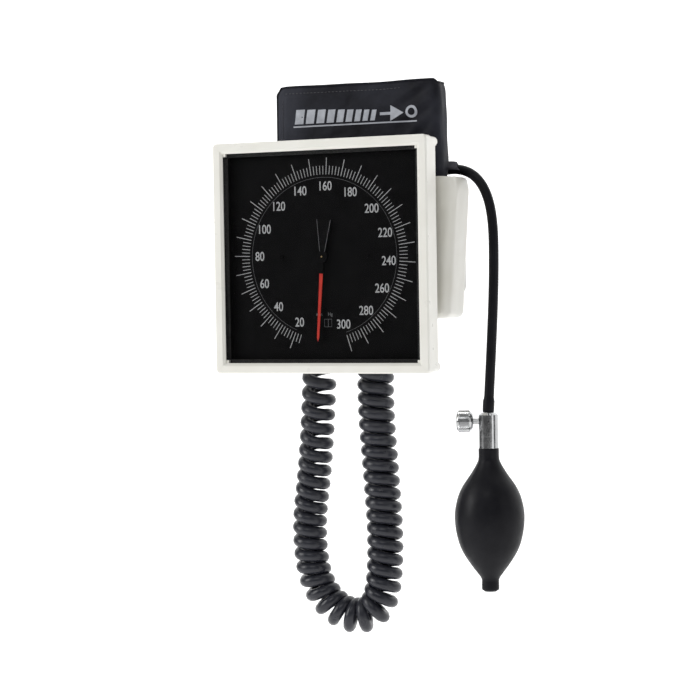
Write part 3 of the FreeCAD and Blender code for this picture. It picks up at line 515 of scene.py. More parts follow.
hook_loop = finish("hook_loop", (0.03, 0.03, 0.034), 0.95, Sheen_Weight=0.5)
pile = speckle(hook_loop, 2200, 3)
relief(hook_loop, pile, 0.0007)
tone(hook_loop, pile, [(0.3, (0.014, 0.014, 0.017)), (0.7, (0.06, 0.06, 0.068))])

label_silver = grained("label_grey", (0.40, 0.42, 0.47), 0.45, 160, (0.33, 0.345, 0.385),
                       (0.46, 0.48, 0.53))
relief(label_silver, speckle(label_silver, 2600, 2), 0.00003)
print("cloth ready")

# %% [markdown]
# ## Dress the CAD parts
#
# The record names a finish slot for each part. Going through the parts in one loop means none can be
# forgotten.

# %% Finish for every CAD part
SLOTS = {"case_white": case_white, "lens_clear": lens_clear, "dial_black": dial_black,
         "foam_black": foam_black, "plate_grey": plate_grey, "steel": steel, "brass": brass,
         "bronze_diaphragm": bronze, "pointer_black": pointer_black, "pointer_red": pointer_red,
         "chrome": chrome, "rubber_black": rubber_black, "hose_slate": hose_slate,
         "nylon_fitting": nylon_fitting, "cuff_nylon": cuff_nylon, "cuff_welt": cuff_welt,
         "hook_loop": hook_loop, "label_grey": label_silver}
for part in frame["record"]["subparts"]:
    look = SLOTS[part["material_slot"]]
    obj = NODES[part["node"]]
    for place in obj.material_slots:
        place.material = look
    if not obj.material_slots:
        obj.data.materials.append(look)
print(len(NODES), "CAD parts dressed")

# %% [markdown]
# ## Basket
#
# The moulded basket has no sharp edge anywhere, but the CAD solid is built from flat faces. A voxel
# remesh of a copy, then some smoothing, rounds every edge by two or three millimetres at once. Bevels
# would need clean edge loops, which the CAD mesh doesn't have.

# %% Soft-edged basket
soft = add_object("basket_moulding", baked(NODES["basket"]))
soft.data.transform(NODES["basket"].matrix_world)
for kind, settings in (("REMESH", {"mode": "VOXEL", "voxel_size": 1.25 * MM}),
                       ("SMOOTH", {"factor": 0.5, "iterations": 14}),
                       ("DECIMATE", {"ratio": 0.4})):
    mod = soft.modifiers.new(kind.lower(), kind)
    for key, value in settings.items():
        setattr(mod, key, value)
rounded = baked(soft)
soft.modifiers.clear()
soft.data = rounded
rounded.materials.clear()
# Its darker white carries painted shade as well as the basket's own colour.
rounded.materials.append(basket_white_painted_shade)
rounded.shade_smooth()
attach(soft, "wall_unit")
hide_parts("basket")
print("basket:", len(rounded.polygons), "faces")

# %% [markdown]
# ## Dial marks
#
# Marks repeat by rule, one every two millimetres of mercury, so Geometry Nodes make them: points, one
# thin bar on each, turned by its number. The bars at the tens are longer and come from a second run of
# the same tree. Ink is a twentieth of a millimetre thick here, so it shows in the mesh.

# %% Tree for dial marks
def math_node(tree, kind, a, b=None):
    """A Math node; a and b are sockets or numbers."""
    n = tree.nodes.new("ShaderNodeMath")
    n.operation = kind
    for i, v in enumerate((a, b)):
        if v is None:
            continue
        if isinstance(v, (int, float)):
            n.inputs[i].default_value = v
        else:
            tree.links.new(v, n.inputs[i])
    return n.outputs[0]


def new_tree(name, ints=(), floats=()):
    """A tree with number inputs and a Finish input; also its inputs, output, link and math functions."""
    tree = bpy.data.node_groups.new(name, "GeometryNodeTree")
    tree.interface.new_socket("Geometry", in_out="INPUT", socket_type="NodeSocketGeometry")
    for kind, labels in (("Int", ints), ("Float", floats), ("Material", ["Finish"])):
        for label in labels:
            tree.interface.new_socket(label, in_out="INPUT", socket_type="NodeSocket" + kind)
    tree.interface.new_socket("Geometry", in_out="OUTPUT", socket_type="NodeSocketGeometry")
    given = tree.nodes.new("NodeGroupInput").outputs
    out = tree.nodes.new("NodeGroupOutput")
    return tree, given, out, tree.links.new, lambda kind, a, b=None: math_node(tree, kind, a, b)


def close_tree(tree, source, given, out):
    """Realize Instances and Set Material, then out."""
    real = tree.nodes.new("GeometryNodeRealizeInstances")
    paint = tree.nodes.new("GeometryNodeSetMaterial")
    tree.links.new(source, real.inputs["Geometry"])
    tree.links.new(real.outputs["Geometry"], paint.inputs["Geometry"])
    tree.links.new(given["Finish"], paint.inputs["Material"])
    tree.links.new(paint.outputs["Geometry"], out.inputs["Geometry"])


def run_tree(name, tree, values, host=None):
    """Plain mesh object made by a tree with the given inputs."""
    data = host or bpy.data.meshes.new("host")
    obj = add_object("host", data)
    mod = obj.modifiers.new("nodes", "NODES")
    mod.node_group = tree
    names = {i.name: i.identifier for i in tree.interface.items_tree if i.in_out == "INPUT"}
    for key, value in values.items():
        mod[names[key]] = value
    mesh = baked(obj)
    obj.modifiers.remove(mod)
    bpy.data.objects.remove(obj)
    mesh.name = name
    return add_object(name, mesh)


mark_tree, given, out, join, calc = new_tree(
    "Dial marks", ints=("Count", "Leave out every", "Leave out from"),
    floats=("Start", "Step", "Inner radius", "Outer radius", "Width"))
index = mark_tree.nodes.new("GeometryNodeInputIndex").outputs[0]
angle = calc("ADD", given["Start"], calc("MULTIPLY", index, given["Step"]))
middle = calc("MULTIPLY", 0.5, calc("ADD", given["Inner radius"], given["Outer radius"]))
spot = mark_tree.nodes.new("ShaderNodeCombineXYZ")
join(calc("MULTIPLY", middle, calc("SINE", angle)), spot.inputs["X"])
join(calc("MULTIPLY", middle, calc("COSINE", angle)), spot.inputs["Z"])
dots = mark_tree.nodes.new("GeometryNodePoints")
join(given["Count"], dots.inputs["Count"])
join(spot.outputs[0], dots.inputs["Position"])
bar_mesh = mark_tree.nodes.new("GeometryNodeMeshCube")
size = mark_tree.nodes.new("ShaderNodeCombineXYZ")
size.inputs["Y"].default_value = 0.0001
join(given["Width"], size.inputs["X"])
join(calc("SUBTRACT", given["Outer radius"], given["Inner radius"]), size.inputs["Z"])
join(size.outputs[0], bar_mesh.inputs["Size"])
tilt = mark_tree.nodes.new("ShaderNodeCombineXYZ")
join(angle, tilt.inputs["Y"])
place_in_five = calc("MODULO", calc("ADD", index, given["Leave out from"]), given["Leave out every"])
put = mark_tree.nodes.new("GeometryNodeInstanceOnPoints")
join(dots.outputs[0], put.inputs["Points"])
join(calc("GREATER_THAN", place_in_five, 0.5), put.inputs["Selection"])
join(bar_mesh.outputs["Mesh"], put.inputs["Instance"])
join(tilt.outputs[0], put.inputs["Rotation"])
close_tree(mark_tree, put.outputs["Instances"], given, out)
print("dial mark tree has", len(mark_tree.nodes), "nodes")

# %% [markdown]
# Zero sits straight down and each millimetre of mercury turns the pointer by 8/7 of a degree, clockwise.
# The printed scale runs from 16 to 300.

# %% Print the marks
DIAL_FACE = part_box("dial_plate")[0][1]
DIAL_Z = -0.010
DEGREE = math.radians(1)
PER_MMHG = 8 / 7 * DEGREE


def onto_dial(obj, lift=0.0):
    """Moves a mesh made around the origin onto the dial's face."""
    obj.data.transform(Matrix.Translation((0, DIAL_FACE - 0.00001 - lift, DIAL_Z)))
    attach(obj, "wall_unit")
    return obj


fine = run_tree("dial_fine_marks", mark_tree, {
    "Count": 143, "Start": -math.pi + 16 * PER_MMHG, "Step": 2 * PER_MMHG, "Inner radius": 0.058,
    "Outer radius": 0.0642, "Width": 0.00042, "Leave out every": 5, "Leave out from": 3,
    "Finish": print_grey})
tens = run_tree("dial_ten_marks", mark_tree, {
    "Count": 29, "Start": -math.pi + 20 * PER_MMHG, "Step": 10 * PER_MMHG, "Inner radius": 0.058,
    "Outer radius": 0.070, "Width": 0.00048, "Leave out every": 1000, "Leave out from": 1,
    "Finish": print_grey})
for marks in (fine, tens):
    onto_dial(marks)
print(len(fine.data.polygons) // 6, "fine marks and", len(tens.data.polygons) // 6, "ten marks")

# %% [markdown]
# The thin line inside the marks and the little box at zero are flat strips. The numbers are text made
# into mesh, narrowed a little as dial lettering is, and set upright around the dial.

# %% Strips and numbers
def strip(name, points, width, thick, look, closed=False):
    """Flat printed line through points (x, z) in millimetres."""
    mesh = bmesh.new()
    n = len(points)
    rows = []
    for i, (x, z) in enumerate(points):
        ax, az = points[i - 1] if (i or closed) else points[0]
        bx, bz = points[(i + 1) % n] if (i < n - 1 or closed) else points[-1]
        d = Vector((bx - ax, 0, bz - az)).normalized()
        side = Vector((d.z, 0, -d.x)) * width / 2
        c = Vector((x * MM, 0, z * MM))
        rows.append([mesh.verts.new(c + side * k + Vector((0, y, 0)))
                     for k, y in ((-1, -thick), (1, -thick), (1, thick), (-1, thick))])
    pairs = list(zip(rows, rows[1:])) + ([(rows[-1], rows[0])] if closed else [])
    for a, b in pairs:
        for k in range(4):
            mesh.faces.new((a[k], a[(k + 1) % 4], b[(k + 1) % 4], b[k]))
    if not closed:
        mesh.faces.new(rows[0])
        mesh.faces.new(rows[-1][::-1])
    return object_from(name, mesh, look)


def around(radius, a0, a1, n):
    turns = [a0 + (a1 - a0) * i / n for i in range(n + 1)]
    return [(radius * math.sin(a), radius * math.cos(a)) for a in turns]


scale_arc = around(56.0, -math.pi + 20 * PER_MMHG, -math.pi + 300 * PER_MMHG, 160)
scale_line = strip("dial_scale_line", scale_arc, 0.00022, 0.00004, faint_print_and_highlight)
box_corners = [(0, -49.6), (5.6, -49.6), (5.6, -44.2), (0, -44.2)]
zero_box = strip("dial_zero_box", box_corners, 0.0003, 0.00004, faint_print_and_highlight, True)
zero_line = strip("dial_zero_line", [(2.9, -44.3), (2.9, -49.5)], 0.0003, 0.00003, faint_print_and_highlight)
for line in (scale_line, zero_box, zero_line):
    onto_dial(line)


def lettering(name, words, height, narrow, look):
    """One mesh of upright words, each (text, x, z) in millimetres from the dial's centre."""
    mesh = bmesh.new()
    for text, x, z in words:
        data = bpy.data.curves.new("text", "FONT")
        data.body = text
        data.size = height * 1.38
        data.extrude = 0.00004
        data.align_x = "CENTER"
        data.align_y = "CENTER"
        data.offset = height * 0.012
        obj = add_object("text", data)
        flat = baked(obj)
        bpy.data.objects.remove(obj)
        flat.transform(Matrix.Diagonal((narrow, 1, 1, 1)))
        flat.transform(Matrix.Rotation(math.pi / 2, 4, "X"))
        xs = [v.co.x for v in flat.vertices]
        zs = [v.co.z for v in flat.vertices]
        middle_x, middle_z = (min(xs) + max(xs)) / 2, (min(zs) + max(zs)) / 2
        flat.transform(Matrix.Translation((x * MM - middle_x, 0, z * MM - middle_z)))
        mesh.from_mesh(flat)
        bpy.data.meshes.remove(flat)
    bmesh.ops.remove_doubles(mesh, verts=mesh.verts, dist=1e-7)
    data = bpy.data.meshes.new(name)
    mesh.to_mesh(data)
    mesh.free()
    data.materials.append(look)
    return add_object(name, data)


numbers = []
for value in range(20, 301, 20):
    a = -math.pi + value * PER_MMHG
    numbers.append((str(value), 50.0 * math.sin(a), 50.0 * math.cos(a)))
figures = lettering("dial_numbers", numbers, 0.0066, 0.80, print_grey)
unit = lettering("dial_unit", [("mm", -4.0, -41.0), ("Hg", 4.6, -41.0)], 0.0024, 0.95, faint_print_and_highlight)
for words in (figures, unit):
    onto_dial(words)
print("numbers:", len(figures.data.polygons), "faces")

# %% [markdown]
# ## Pointer edges
#
# The pointer's black tail almost vanishes against the dial. Only its rolled edges catch light, as two thin
# grey lines that spread from the hub. They are two fine wires on the tail's edges, whose grey is a painted
# highlight.

# %% Pointer edges
REST = math.radians(-176)


def pointer_point(x, z, y=-65.55):
    """A point of the pointer, given with the pointer straight up, turned to its rest."""
    p = Matrix.Rotation(REST, 3, "Y") @ Vector((x, 0, z))
    return Vector((p.x * MM, y * MM, p.z * MM + DIAL_Z))


for label, sign in (("left", -1), ("right", 1)):
    ends = [pointer_point(sign * (1.3 + 4.0 * t), -26.0 * t) for t in [i / 12 for i in range(13)]]
    wire = tube("pointer_edge_highlight_" + label, ends, lambda i: 0.22 * MM, 8)
    # The wires' faint grey is a painted highlight for the light the rolled edges catch.
    wire.data.materials.append(faint_print_and_highlight)
    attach(wire, "pointer")
print("two pointer edges")

# %% [markdown]
# ## Turned shapes
#
# The bulb and the thumbscrew are round, so a profile spun around an axis makes them. The lathe helper
# closes both poles with a fan and leaves no doubled points, which a Spin would.

# %% Lathe helper
def lathe(name, profile, base, axis, steps):
    """Turns (radius, height) points, in metres, around an axis through base."""
    mesh = bmesh.new()
    up = Vector(axis).normalized()
    side = up.orthogonal().normalized()
    other = up.cross(side)
    rings = []
    for r, h in profile:
        if r < 1e-7:
            rings.append([mesh.verts.new(Vector(base) + up * h)])
            continue
        rings.append([mesh.verts.new(Vector(base) + up * h + (side * math.cos(t) + other * math.sin(t)) * r)
                      for t in [2 * math.pi * k / steps for k in range(steps)]])
    for a, b in zip(rings, rings[1:]):
        for k in range(steps):
            j = (k + 1) % steps
            if len(a) == 1 and len(b) > 1:
                mesh.faces.new((a[0], b[j], b[k]))
            elif len(b) == 1 and len(a) > 1:
                mesh.faces.new((a[k], a[j], b[0]))
            elif len(a) > 1:
                mesh.faces.new((a[k], a[j], b[j], b[k]))
    return object_from(name, mesh, smooth=True)


def smooth_profile(points, steps):
    """Reads a smooth profile through a NURBS line of (radius, height) control points in millimetres."""
    return [(p.x, p.z) for p in route_line([(r, 0, h) for r, h in points], steps)]


# %% [markdown]
# ## Hand bulb
#
# A dip-moulded rubber bulb: a short neck over the valve, a lemon-shaped belly and a nipple that holds
# the inlet valve. A faint ring is left where the mould's halves met along its length.

# %% Hand bulb
bulb_low, bulb_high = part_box("bulb")
BULB_X = (bulb_low[0] + bulb_high[0]) / 2
BULB_Y = (bulb_low[1] + bulb_high[1]) / 2
TOP = bulb_high[2] / MM
outside = [(5.4, TOP), (6.6, TOP), (7.2, TOP - 0.3), (7.2, TOP - 2.5), (7.2, TOP - 7), (7.7, TOP - 9.5),
           (12.2, TOP - 17.5), (20.6, TOP - 29), (24.1, TOP - 41), (24.8, TOP - 50), (23.5, TOP - 61),
           (20.4, TOP - 71.5), (13.8, TOP - 82), (8.2, TOP - 89.2), (6.0, TOP - 92.4), (6.1, TOP - 95.5),
           (6.2, TOP - 99.2), (5.8, TOP - 100.4), (4.8, TOP - 100.5)]
bore = [(4.4, TOP - 100.4), (4.0, TOP - 99.5), (4.0, TOP - 84)]
outer_line = smooth_profile(outside, 8)
rim_line = [(r * MM, h * MM) for r, h in bore + [(4.0, TOP - 83.8), (0, TOP - 83.8)]]
neck_line = [(0, (TOP - 15) * MM), (5.0 * MM, (TOP - 15) * MM), (5.0 * MM, (TOP - 0.3) * MM)]
hand_bulb = lathe("hand_bulb", neck_line + outer_line + rim_line, (BULB_X, BULB_Y, 0), (0, 0, 1), 72)
for v in hand_bulb.data.vertices:
    x, y = v.co.x - BULB_X, v.co.y - BULB_Y
    r = math.hypot(x, y)
    if r > 0.0075:
        seam = math.exp(-(math.sin(math.atan2(y, x) - 0.9) * r / 0.0007) ** 2) * 0.00018
        v.co.x += x / r * seam
        v.co.y += y / r * seam
hand_bulb.data.materials.append(rubber_black)
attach(hand_bulb, "cuff")
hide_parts("bulb")
print("bulb: %d faces, top at z %.4f" % (len(hand_bulb.data.polygons), bulb_high[2]))

# %% [markdown]
# ## Thumbscrew
#
# The release screw's head is diamond-knurled so that a thumb can grip it. The blank is turned, and
# Geometry Nodes set a low four-sided point on each crossing of the two cutting spirals. Bump alone would
# leave a smooth outline.

# %% Knurl tree
knurl_tree, given, out, join, calc = new_tree(
    "Diamond knurl", ints=("Around", "Rows"), floats=("Radius", "Row height", "Point size", "Point height"))
index = knurl_tree.nodes.new("GeometryNodeInputIndex").outputs[0]
row = calc("FLOOR", calc("DIVIDE", calc("ADD", index, 0.5), given["Around"]))
place = calc("ADD", index, calc("MULTIPLY", row, 0.5))
angle = calc("DIVIDE", calc("MULTIPLY", 2 * math.pi, place), given["Around"])
spot = knurl_tree.nodes.new("ShaderNodeCombineXYZ")
join(calc("MULTIPLY", given["Radius"], calc("COSINE", angle)), spot.inputs["X"])
join(calc("MULTIPLY", given["Radius"], calc("SINE", angle)), spot.inputs["Y"])
join(calc("MULTIPLY", given["Row height"], row), spot.inputs["Z"])
dots = knurl_tree.nodes.new("GeometryNodePoints")
join(calc("MULTIPLY", given["Around"], given["Rows"]), dots.inputs["Count"])
join(spot.outputs[0], dots.inputs["Position"])
cone = knurl_tree.nodes.new("GeometryNodeMeshCone")
cone.inputs["Vertices"].default_value = 4
join(given["Point size"], cone.inputs["Radius Bottom"])
join(calc("MULTIPLY", given["Point size"], 0.22), cone.inputs["Radius Top"])
join(given["Point height"], cone.inputs["Depth"])
lay = knurl_tree.nodes.new("ShaderNodeCombineXYZ")
lay.inputs["Y"].default_value = math.pi / 2
join(angle, lay.inputs["Z"])
put = knurl_tree.nodes.new("GeometryNodeInstanceOnPoints")
join(dots.outputs[0], put.inputs["Points"])
join(cone.outputs["Mesh"], put.inputs["Instance"])
join(lay.outputs[0], put.inputs["Rotation"])
close_tree(knurl_tree, put.outputs["Instances"], given, out)
print("knurl tree has", len(knurl_tree.nodes), "nodes")

# %% Thumbscrew head
VALVE = Vector((108.6 * MM, -26.0 * MM, -127.5 * MM))
OUT = Vector((-math.cos(math.radians(18)), -math.sin(math.radians(18)), 0))
blank = [(0, 11.0), (2.0, 11.0), (3.4, 10.5), (5.2, 10.8), (6.4, 11.7), (7.0, 12.6), (7.3, 13.4),
         (7.3, 20.8), (7.0, 21.7), (6.0, 22.3), (4.6, 22.4), (4.2, 22.0), (0, 22.0)]
screw_head = lathe("thumbscrew_blank", [(r * MM, h * MM) for r, h in blank], VALVE, OUT, 48)
points = run_tree("thumbscrew_knurl", knurl_tree, {
    "Around": 36, "Rows": 12, "Radius": 0.00715, "Row height": 0.00063, "Point size": 0.00072,
    "Point height": 0.00055, "Finish": chrome})
side = OUT.orthogonal().normalized()
stand = Matrix((side, OUT.cross(side), OUT)).transposed().to_4x4()
points.data.transform(Matrix.Translation(VALVE + OUT * 13.6 * MM) @ stand)
screw_head.data.materials.append(chrome)
screw_head.data.shade_smooth()
for piece in (screw_head, points):
    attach(piece, "thumbscrew")
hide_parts("thumbscrew_knob")
print("knurl:", len(points.data.polygons), "faces")

# %% [markdown]
# ## Cuff
#
# The cuff is one long padded strip, rolled twice: front panel, a square fold on the right, back panel, a
# tight fold on the left, and a short end inside. Its section is drawn once as a line in plan. A closed
# shell is raised on that line, thinner towards its sewn edges, then a short cloth simulation with a
# little air inside gives it the slack, crowned look of real fabric. A voxel remesh is left out, because
# the strip is only as thick as one voxel.

# %% Section of the folded cuff
FRONT_LEFT, FRONT_Y = -47.5, -34.0
CORNER_R, FOLD_X, SIDE = 4.0, 71.0, 8.5
BACK_Y, BACK_LEFT = -17.5, -38.0
SMALL_R = 3.5
LOW, HIGH = -38.8, 114.0
RUNS = [118.5, math.pi * CORNER_R + SIDE, 109.0, math.pi * SMALL_R, 38.0]
STRIP = sum(RUNS)


def cuff_section(u):
    """Point of the middle line and outward direction, u millimetres from the front panel's left edge."""
    if u < RUNS[0]:
        return Vector((FRONT_LEFT + u, FRONT_Y, 0)), Vector((0, -1, 0))
    u -= RUNS[0]
    if u < RUNS[1]:
        quarter = math.pi / 2 * CORNER_R
        flat = min(max(u - quarter, 0.0), SIDE)
        a = -math.pi / 2 + (u - flat) / CORNER_R
        d = Vector((math.cos(a), math.sin(a), 0))
        return Vector((FOLD_X, FRONT_Y + CORNER_R + flat, 0)) + d * CORNER_R, d
    u -= RUNS[1]
    if u < RUNS[2]:
        return Vector((FOLD_X - u, BACK_Y, 0)), Vector((0, 1, 0))
    u -= RUNS[2]
    if u < RUNS[3]:
        a = math.pi / 2 + u / SMALL_R
        d = Vector((math.cos(a), math.sin(a), 0))
        return Vector((BACK_LEFT, BACK_Y - SMALL_R, 0)) + d * SMALL_R, d
    u -= RUNS[3]
    return Vector((BACK_LEFT + u, BACK_Y - 2 * SMALL_R, 0)), Vector((0, -1, 0))


def top_edge(u):
    """Height of the upper edge: a slow wave, a small step where the front layer ends at the fold."""
    wave = 0.9 * math.sin(u / 17.0 + 0.4) + 0.5 * math.sin(u / 7.3)
    step = -2.0 * ease((u - 120.0) / 2.5)
    return HIGH - 0.5 + 0.3 * wave + step


# %% [markdown]
# The shell's grid has a station every 3.5 mm, closer together around the folds. Rounded corners come
# from lowering the edge near the strip's two ends.

# %% Raise the shell
stations = [0.0]
while stations[-1] < STRIP - 0.5:
    u = stations[-1]
    in_fold = sum(RUNS[:3]) - 3 < u < sum(RUNS[:4]) + 3 or RUNS[0] - 3 < u < sum(RUNS[:2]) + 2
    stations.append(min(u + (1.4 if in_fold else 3.4), STRIP))
ROWS = 44


def half_thickness(u, t):
    """Half of the strip's thickness: full inside, thin at the sewn edges."""
    inset = min(u, STRIP - u, t * (HIGH - LOW), (1 - t) * (HIGH - LOW))
    return 0.55 + 1.45 * math.sqrt(max(0.0, 1 - (1 - min(inset / 9.0, 1.0)) ** 2))


def cuff_point(u, t, side):
    place, outward = cuff_section(u)
    end = min(u, STRIP - u)
    corner = 5.0 - math.sqrt(max(0.0, 25.0 - (5.0 - min(end, 5.0)) ** 2))
    top = top_edge(u) - corner
    low = LOW + corner
    z = low + (top - low) * t
    lean = Vector((0, 0, 0))
    bulge = 3.6 * (0.55 - t) + 3.2 * ease((t - 0.45) / 0.2)
    if u < RUNS[0] + RUNS[1]:
        k = ease((u - 40) / 80)
        lean.x = k * bulge
    elif u < sum(RUNS[:3]):
        lean.x = ease(1 - (u - sum(RUNS[:2])) / 80) * bulge
    ripple = 0.0
    if side > 0:
        ripple = 0.35 * noise.noise(Vector((u / 26.0, t * 5.0, 1.7)))
    p = place + outward * (side * half_thickness(u, t) + ripple) + lean
    return Vector((p.x, p.y, z)) * MM


shell = bmesh.new()
grids = {}
for side in (1, -1):
    grids[side] = [[shell.verts.new(cuff_point(u, r / ROWS, side)) for r in range(ROWS + 1)]
                   for u in stations]
n = len(stations) - 1
for side in (1, -1):
    g = grids[side]
    for i in range(n):
        for r in range(ROWS):
            quad = (g[i][r], g[i + 1][r], g[i + 1][r + 1], g[i][r + 1])
            f = shell.faces.new(quad if side > 0 else quad[::-1])
            f.material_index = 0 if side > 0 else 1
a, b = grids[1], grids[-1]
for i in range(n):
    shell.faces.new((a[i + 1][0], a[i][0], b[i][0], b[i + 1][0]))
    shell.faces.new((a[i][ROWS], a[i + 1][ROWS], b[i + 1][ROWS], b[i][ROWS]))
for r in range(ROWS):
    shell.faces.new((a[0][r], a[0][r + 1], b[0][r + 1], b[0][r]))
    shell.faces.new((a[n][r + 1], a[n][r], b[n][r], b[n][r + 1]))
bmesh.ops.recalc_face_normals(shell, faces=shell.faces)
cuff_mesh = bpy.data.meshes.new("cuff_cover")
shell.to_mesh(cuff_mesh)
shell.free()
cuff_cover = add_object("cuff_cover", cuff_mesh)
print("cuff shell:", len(cuff_mesh.vertices), "points,", round(STRIP), "mm of strip")

# %% [markdown]
# ### A little air
#
# The cloth solver pushes the shell out from inside. Points near the sewn edges and the folds are
# pinned, and no point may move further than the cap, so the cuff stays inside the basket.

# %% Inflate the cuff
CAP = 1.3 * MM
FRAMES = 14
per_side = (n + 1) * (ROWS + 1)


def strip_place(index):
    """The station and row of a point of the shell, from its number."""
    k = index % per_side
    return stations[k // (ROWS + 1)], (k % (ROWS + 1)) / ROWS


def inflate(obj, pressure):
    rest = [v.co.copy() for v in obj.data.vertices]
    pins = obj.vertex_groups.new(name="pins")
    for v in obj.data.vertices:
        u, t = strip_place(v.index)
        edge = min(u, STRIP - u, t * (HIGH - LOW), (1 - t) * (HIGH - LOW))
        hold = 1.0 - ease((edge - 5.0) / 9.0)
        if RUNS[0] - 4 < u < RUNS[0] + RUNS[1] + 4 or u > sum(RUNS[:2]) + 8:
            hold = max(hold, 0.85)
        pins.add([v.index], hold, "REPLACE")
    cloth = obj.modifiers.new("cloth", "CLOTH")
    cloth.settings.use_pressure = True
    cloth.settings.uniform_pressure_force = pressure
    cloth.settings.vertex_group_mass = "pins"
    cloth.settings.effector_weights.gravity = 0.0
    cloth.settings.mass = 0.25
    cloth.settings.tension_stiffness = 25
    cloth.settings.compression_stiffness = 25
    cloth.settings.bending_stiffness = 0.4
    cloth.point_cache.frame_start = 1
    cloth.point_cache.frame_end = FRAMES
    scene = bpy.context.scene
    for f in range(1, FRAMES + 1):
        scene.frame_set(f)
    solved = baked(obj)
    moved = 0.0
    for v, w, r in zip(obj.data.vertices, solved.vertices, rest):
        d = w.co - r
        if d.length > CAP:
            d *= CAP / d.length
        moved = max(moved, d.length)
        v.co = r + d
    bpy.data.meshes.remove(solved)
    obj.modifiers.remove(cloth)
    obj.vertex_groups.remove(pins)
    scene.frame_set(1)
    return moved


print("cuff moved up to %.2f mm" % (inflate(cuff_cover, 4.0) / MM))

# %% [markdown]
# ### Creases and hem
#
# Pressing in a hem groove around the front panel, and a few dents where the layers bunch by the right
# fold, is quicker and surer done by moving points than by more simulation.

# %% Creases
CREASES = [(106, 0.92, 14, 1.1, 0.5), (111, 0.84, 12, 1.3, 0.45), (109, 0.74, 13, 1.1, 0.7),
           (12, 0.62, 9, 0.5, 1.4), (24, 0.8, 16, 0.45, -0.7), (66, 0.93, 22, 0.4, 0.1),
           (40, 0.74, 20, 0.35, 0.3), (84, 0.62, 16, 0.4, -0.4)]


def crease_depth(u, z):
    """How far, in millimetres, the surface is pressed in by creases at u and z."""
    total = 0.0
    for cu, t, length, depth, slope in CREASES:
        cz = LOW + t * (HIGH - LOW)
        du, dz = u - cu, z - cz
        along_it = du * math.cos(slope) + dz * math.sin(slope)
        across = dz * math.cos(slope) - du * math.sin(slope)
        total += depth * math.exp(-(along_it / length) ** 2 - (across / 2.4) ** 2)
        total -= 0.5 * depth * math.exp(-(along_it / length) ** 2 - ((across - 4.2) / 2.6) ** 2)
    return total


def refine(obj, levels):
    mod = obj.modifiers.new("smooth", "SUBSURF")
    mod.levels = mod.render_levels = levels
    mesh = baked(obj)
    obj.modifiers.remove(mod)
    old = obj.data
    obj.data = mesh
    bpy.data.meshes.remove(old)


uv = cuff_cover.data.uv_layers.new(name="cloth")
for loop in cuff_cover.data.loops:
    u, t = strip_place(loop.vertex_index)
    uv.data[loop.index].uv = (u * MM, t * (HIGH - LOW) * MM)
refine(cuff_cover, 1)
cuff_cover.data.update()
normals = [v.normal.copy() for v in cuff_cover.data.vertices]
for v, nrm in zip(cuff_cover.data.vertices, normals):
    x, y, z = (c / MM for c in v.co)
    if y < -33.0 and nrm.y < -0.3:
        u = x - FRONT_LEFT
        depth = crease_depth(u, z)
        hem = min(u, HIGH - 0.5 - z)
        depth += 0.55 * math.exp(-((hem - 4.6) / 1.0) ** 2)
        v.co.y += depth * MM
    elif x > 72 and nrm.x > 0.3:
        v.co.x -= MM * (0.5 * noise.noise(Vector((y / 9, z / 16, 4.2))) + 0.3)
cuff_cover.data.shade_smooth()
cuff_cover.data.materials.append(cuff_nylon)
cuff_cover.data.materials.append(cuff_welt)
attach(cuff_cover, "cuff")
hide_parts("cuff_outer_fabric", "cuff_inner_fabric")
print("cuff cover:", len(cuff_cover.data.polygons), "faces")

# %% [markdown]
# ### Binding and stitches
#
# The strip's raw edge is folded into a narrow binding that runs all the way round. It follows the
# shell's own edge points. The stitches beside it repeat along a path, so they are Geometry Nodes again:
# a short rounded stitch on each point of a resampled curve.

# %% Binding
def middle_point(u, t):
    return (cuff_point(u, t, 1) + cuff_point(u, t, -1)) / 2


loop_line = [middle_point(u, 1) for u in stations]
loop_line += [middle_point(STRIP, 1 - r / ROWS) for r in range(1, ROWS)]
loop_line += [middle_point(u, 0) for u in reversed(stations)]
loop_line += [middle_point(0.0, r / ROWS) for r in range(1, ROWS)]
loop_line.append(loop_line[0].copy())
binding = tube("cuff_binding", loop_line, lambda i: 0.85 * MM, 8)
uv = binding.data.uv_layers.new(name="cloth")
for loop in binding.data.loops:
    ring, k = divmod(loop.vertex_index, 8)
    uv.data[loop.index].uv = (ring * 0.0034, k * 0.0006)
binding.data.materials.append(cuff_welt)
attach(binding, "cuff")
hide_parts("cuff_seam_welt")
print("binding:", round(lengths(loop_line)[-1], 3), "m")

# %% Stitch tree
stitch_tree, given, out, join, calc = new_tree(
    "Stitches along a line", floats=("Spacing", "Stitch length", "Thread"))
to_curve = stitch_tree.nodes.new("GeometryNodeMeshToCurve")
join(given["Geometry"], to_curve.inputs["Mesh"])
to_points = stitch_tree.nodes.new("GeometryNodeCurveToPoints")
to_points.mode = "LENGTH"
join(to_curve.outputs["Curve"], to_points.inputs["Curve"])
join(given["Spacing"], to_points.inputs["Length"])
bead = stitch_tree.nodes.new("GeometryNodeMeshUVSphere")
bead.inputs["Segments"].default_value = 8
bead.inputs["Rings"].default_value = 5
join(given["Thread"], bead.inputs["Radius"])
long = stitch_tree.nodes.new("ShaderNodeCombineXYZ")
long.inputs["X"].default_value = 1.0
long.inputs["Y"].default_value = 1.0
join(calc("DIVIDE", given["Stitch length"], calc("MULTIPLY", given["Thread"], 2.0)), long.inputs["Z"])
put = stitch_tree.nodes.new("GeometryNodeInstanceOnPoints")
join(to_points.outputs["Points"], put.inputs["Points"])
join(to_points.outputs["Rotation"], put.inputs["Rotation"])
join(bead.outputs["Mesh"], put.inputs["Instance"])
join(long.outputs[0], put.inputs["Scale"])
close_tree(stitch_tree, put.outputs["Instances"], given, out)
print("stitch tree has", len(stitch_tree.nodes), "nodes")


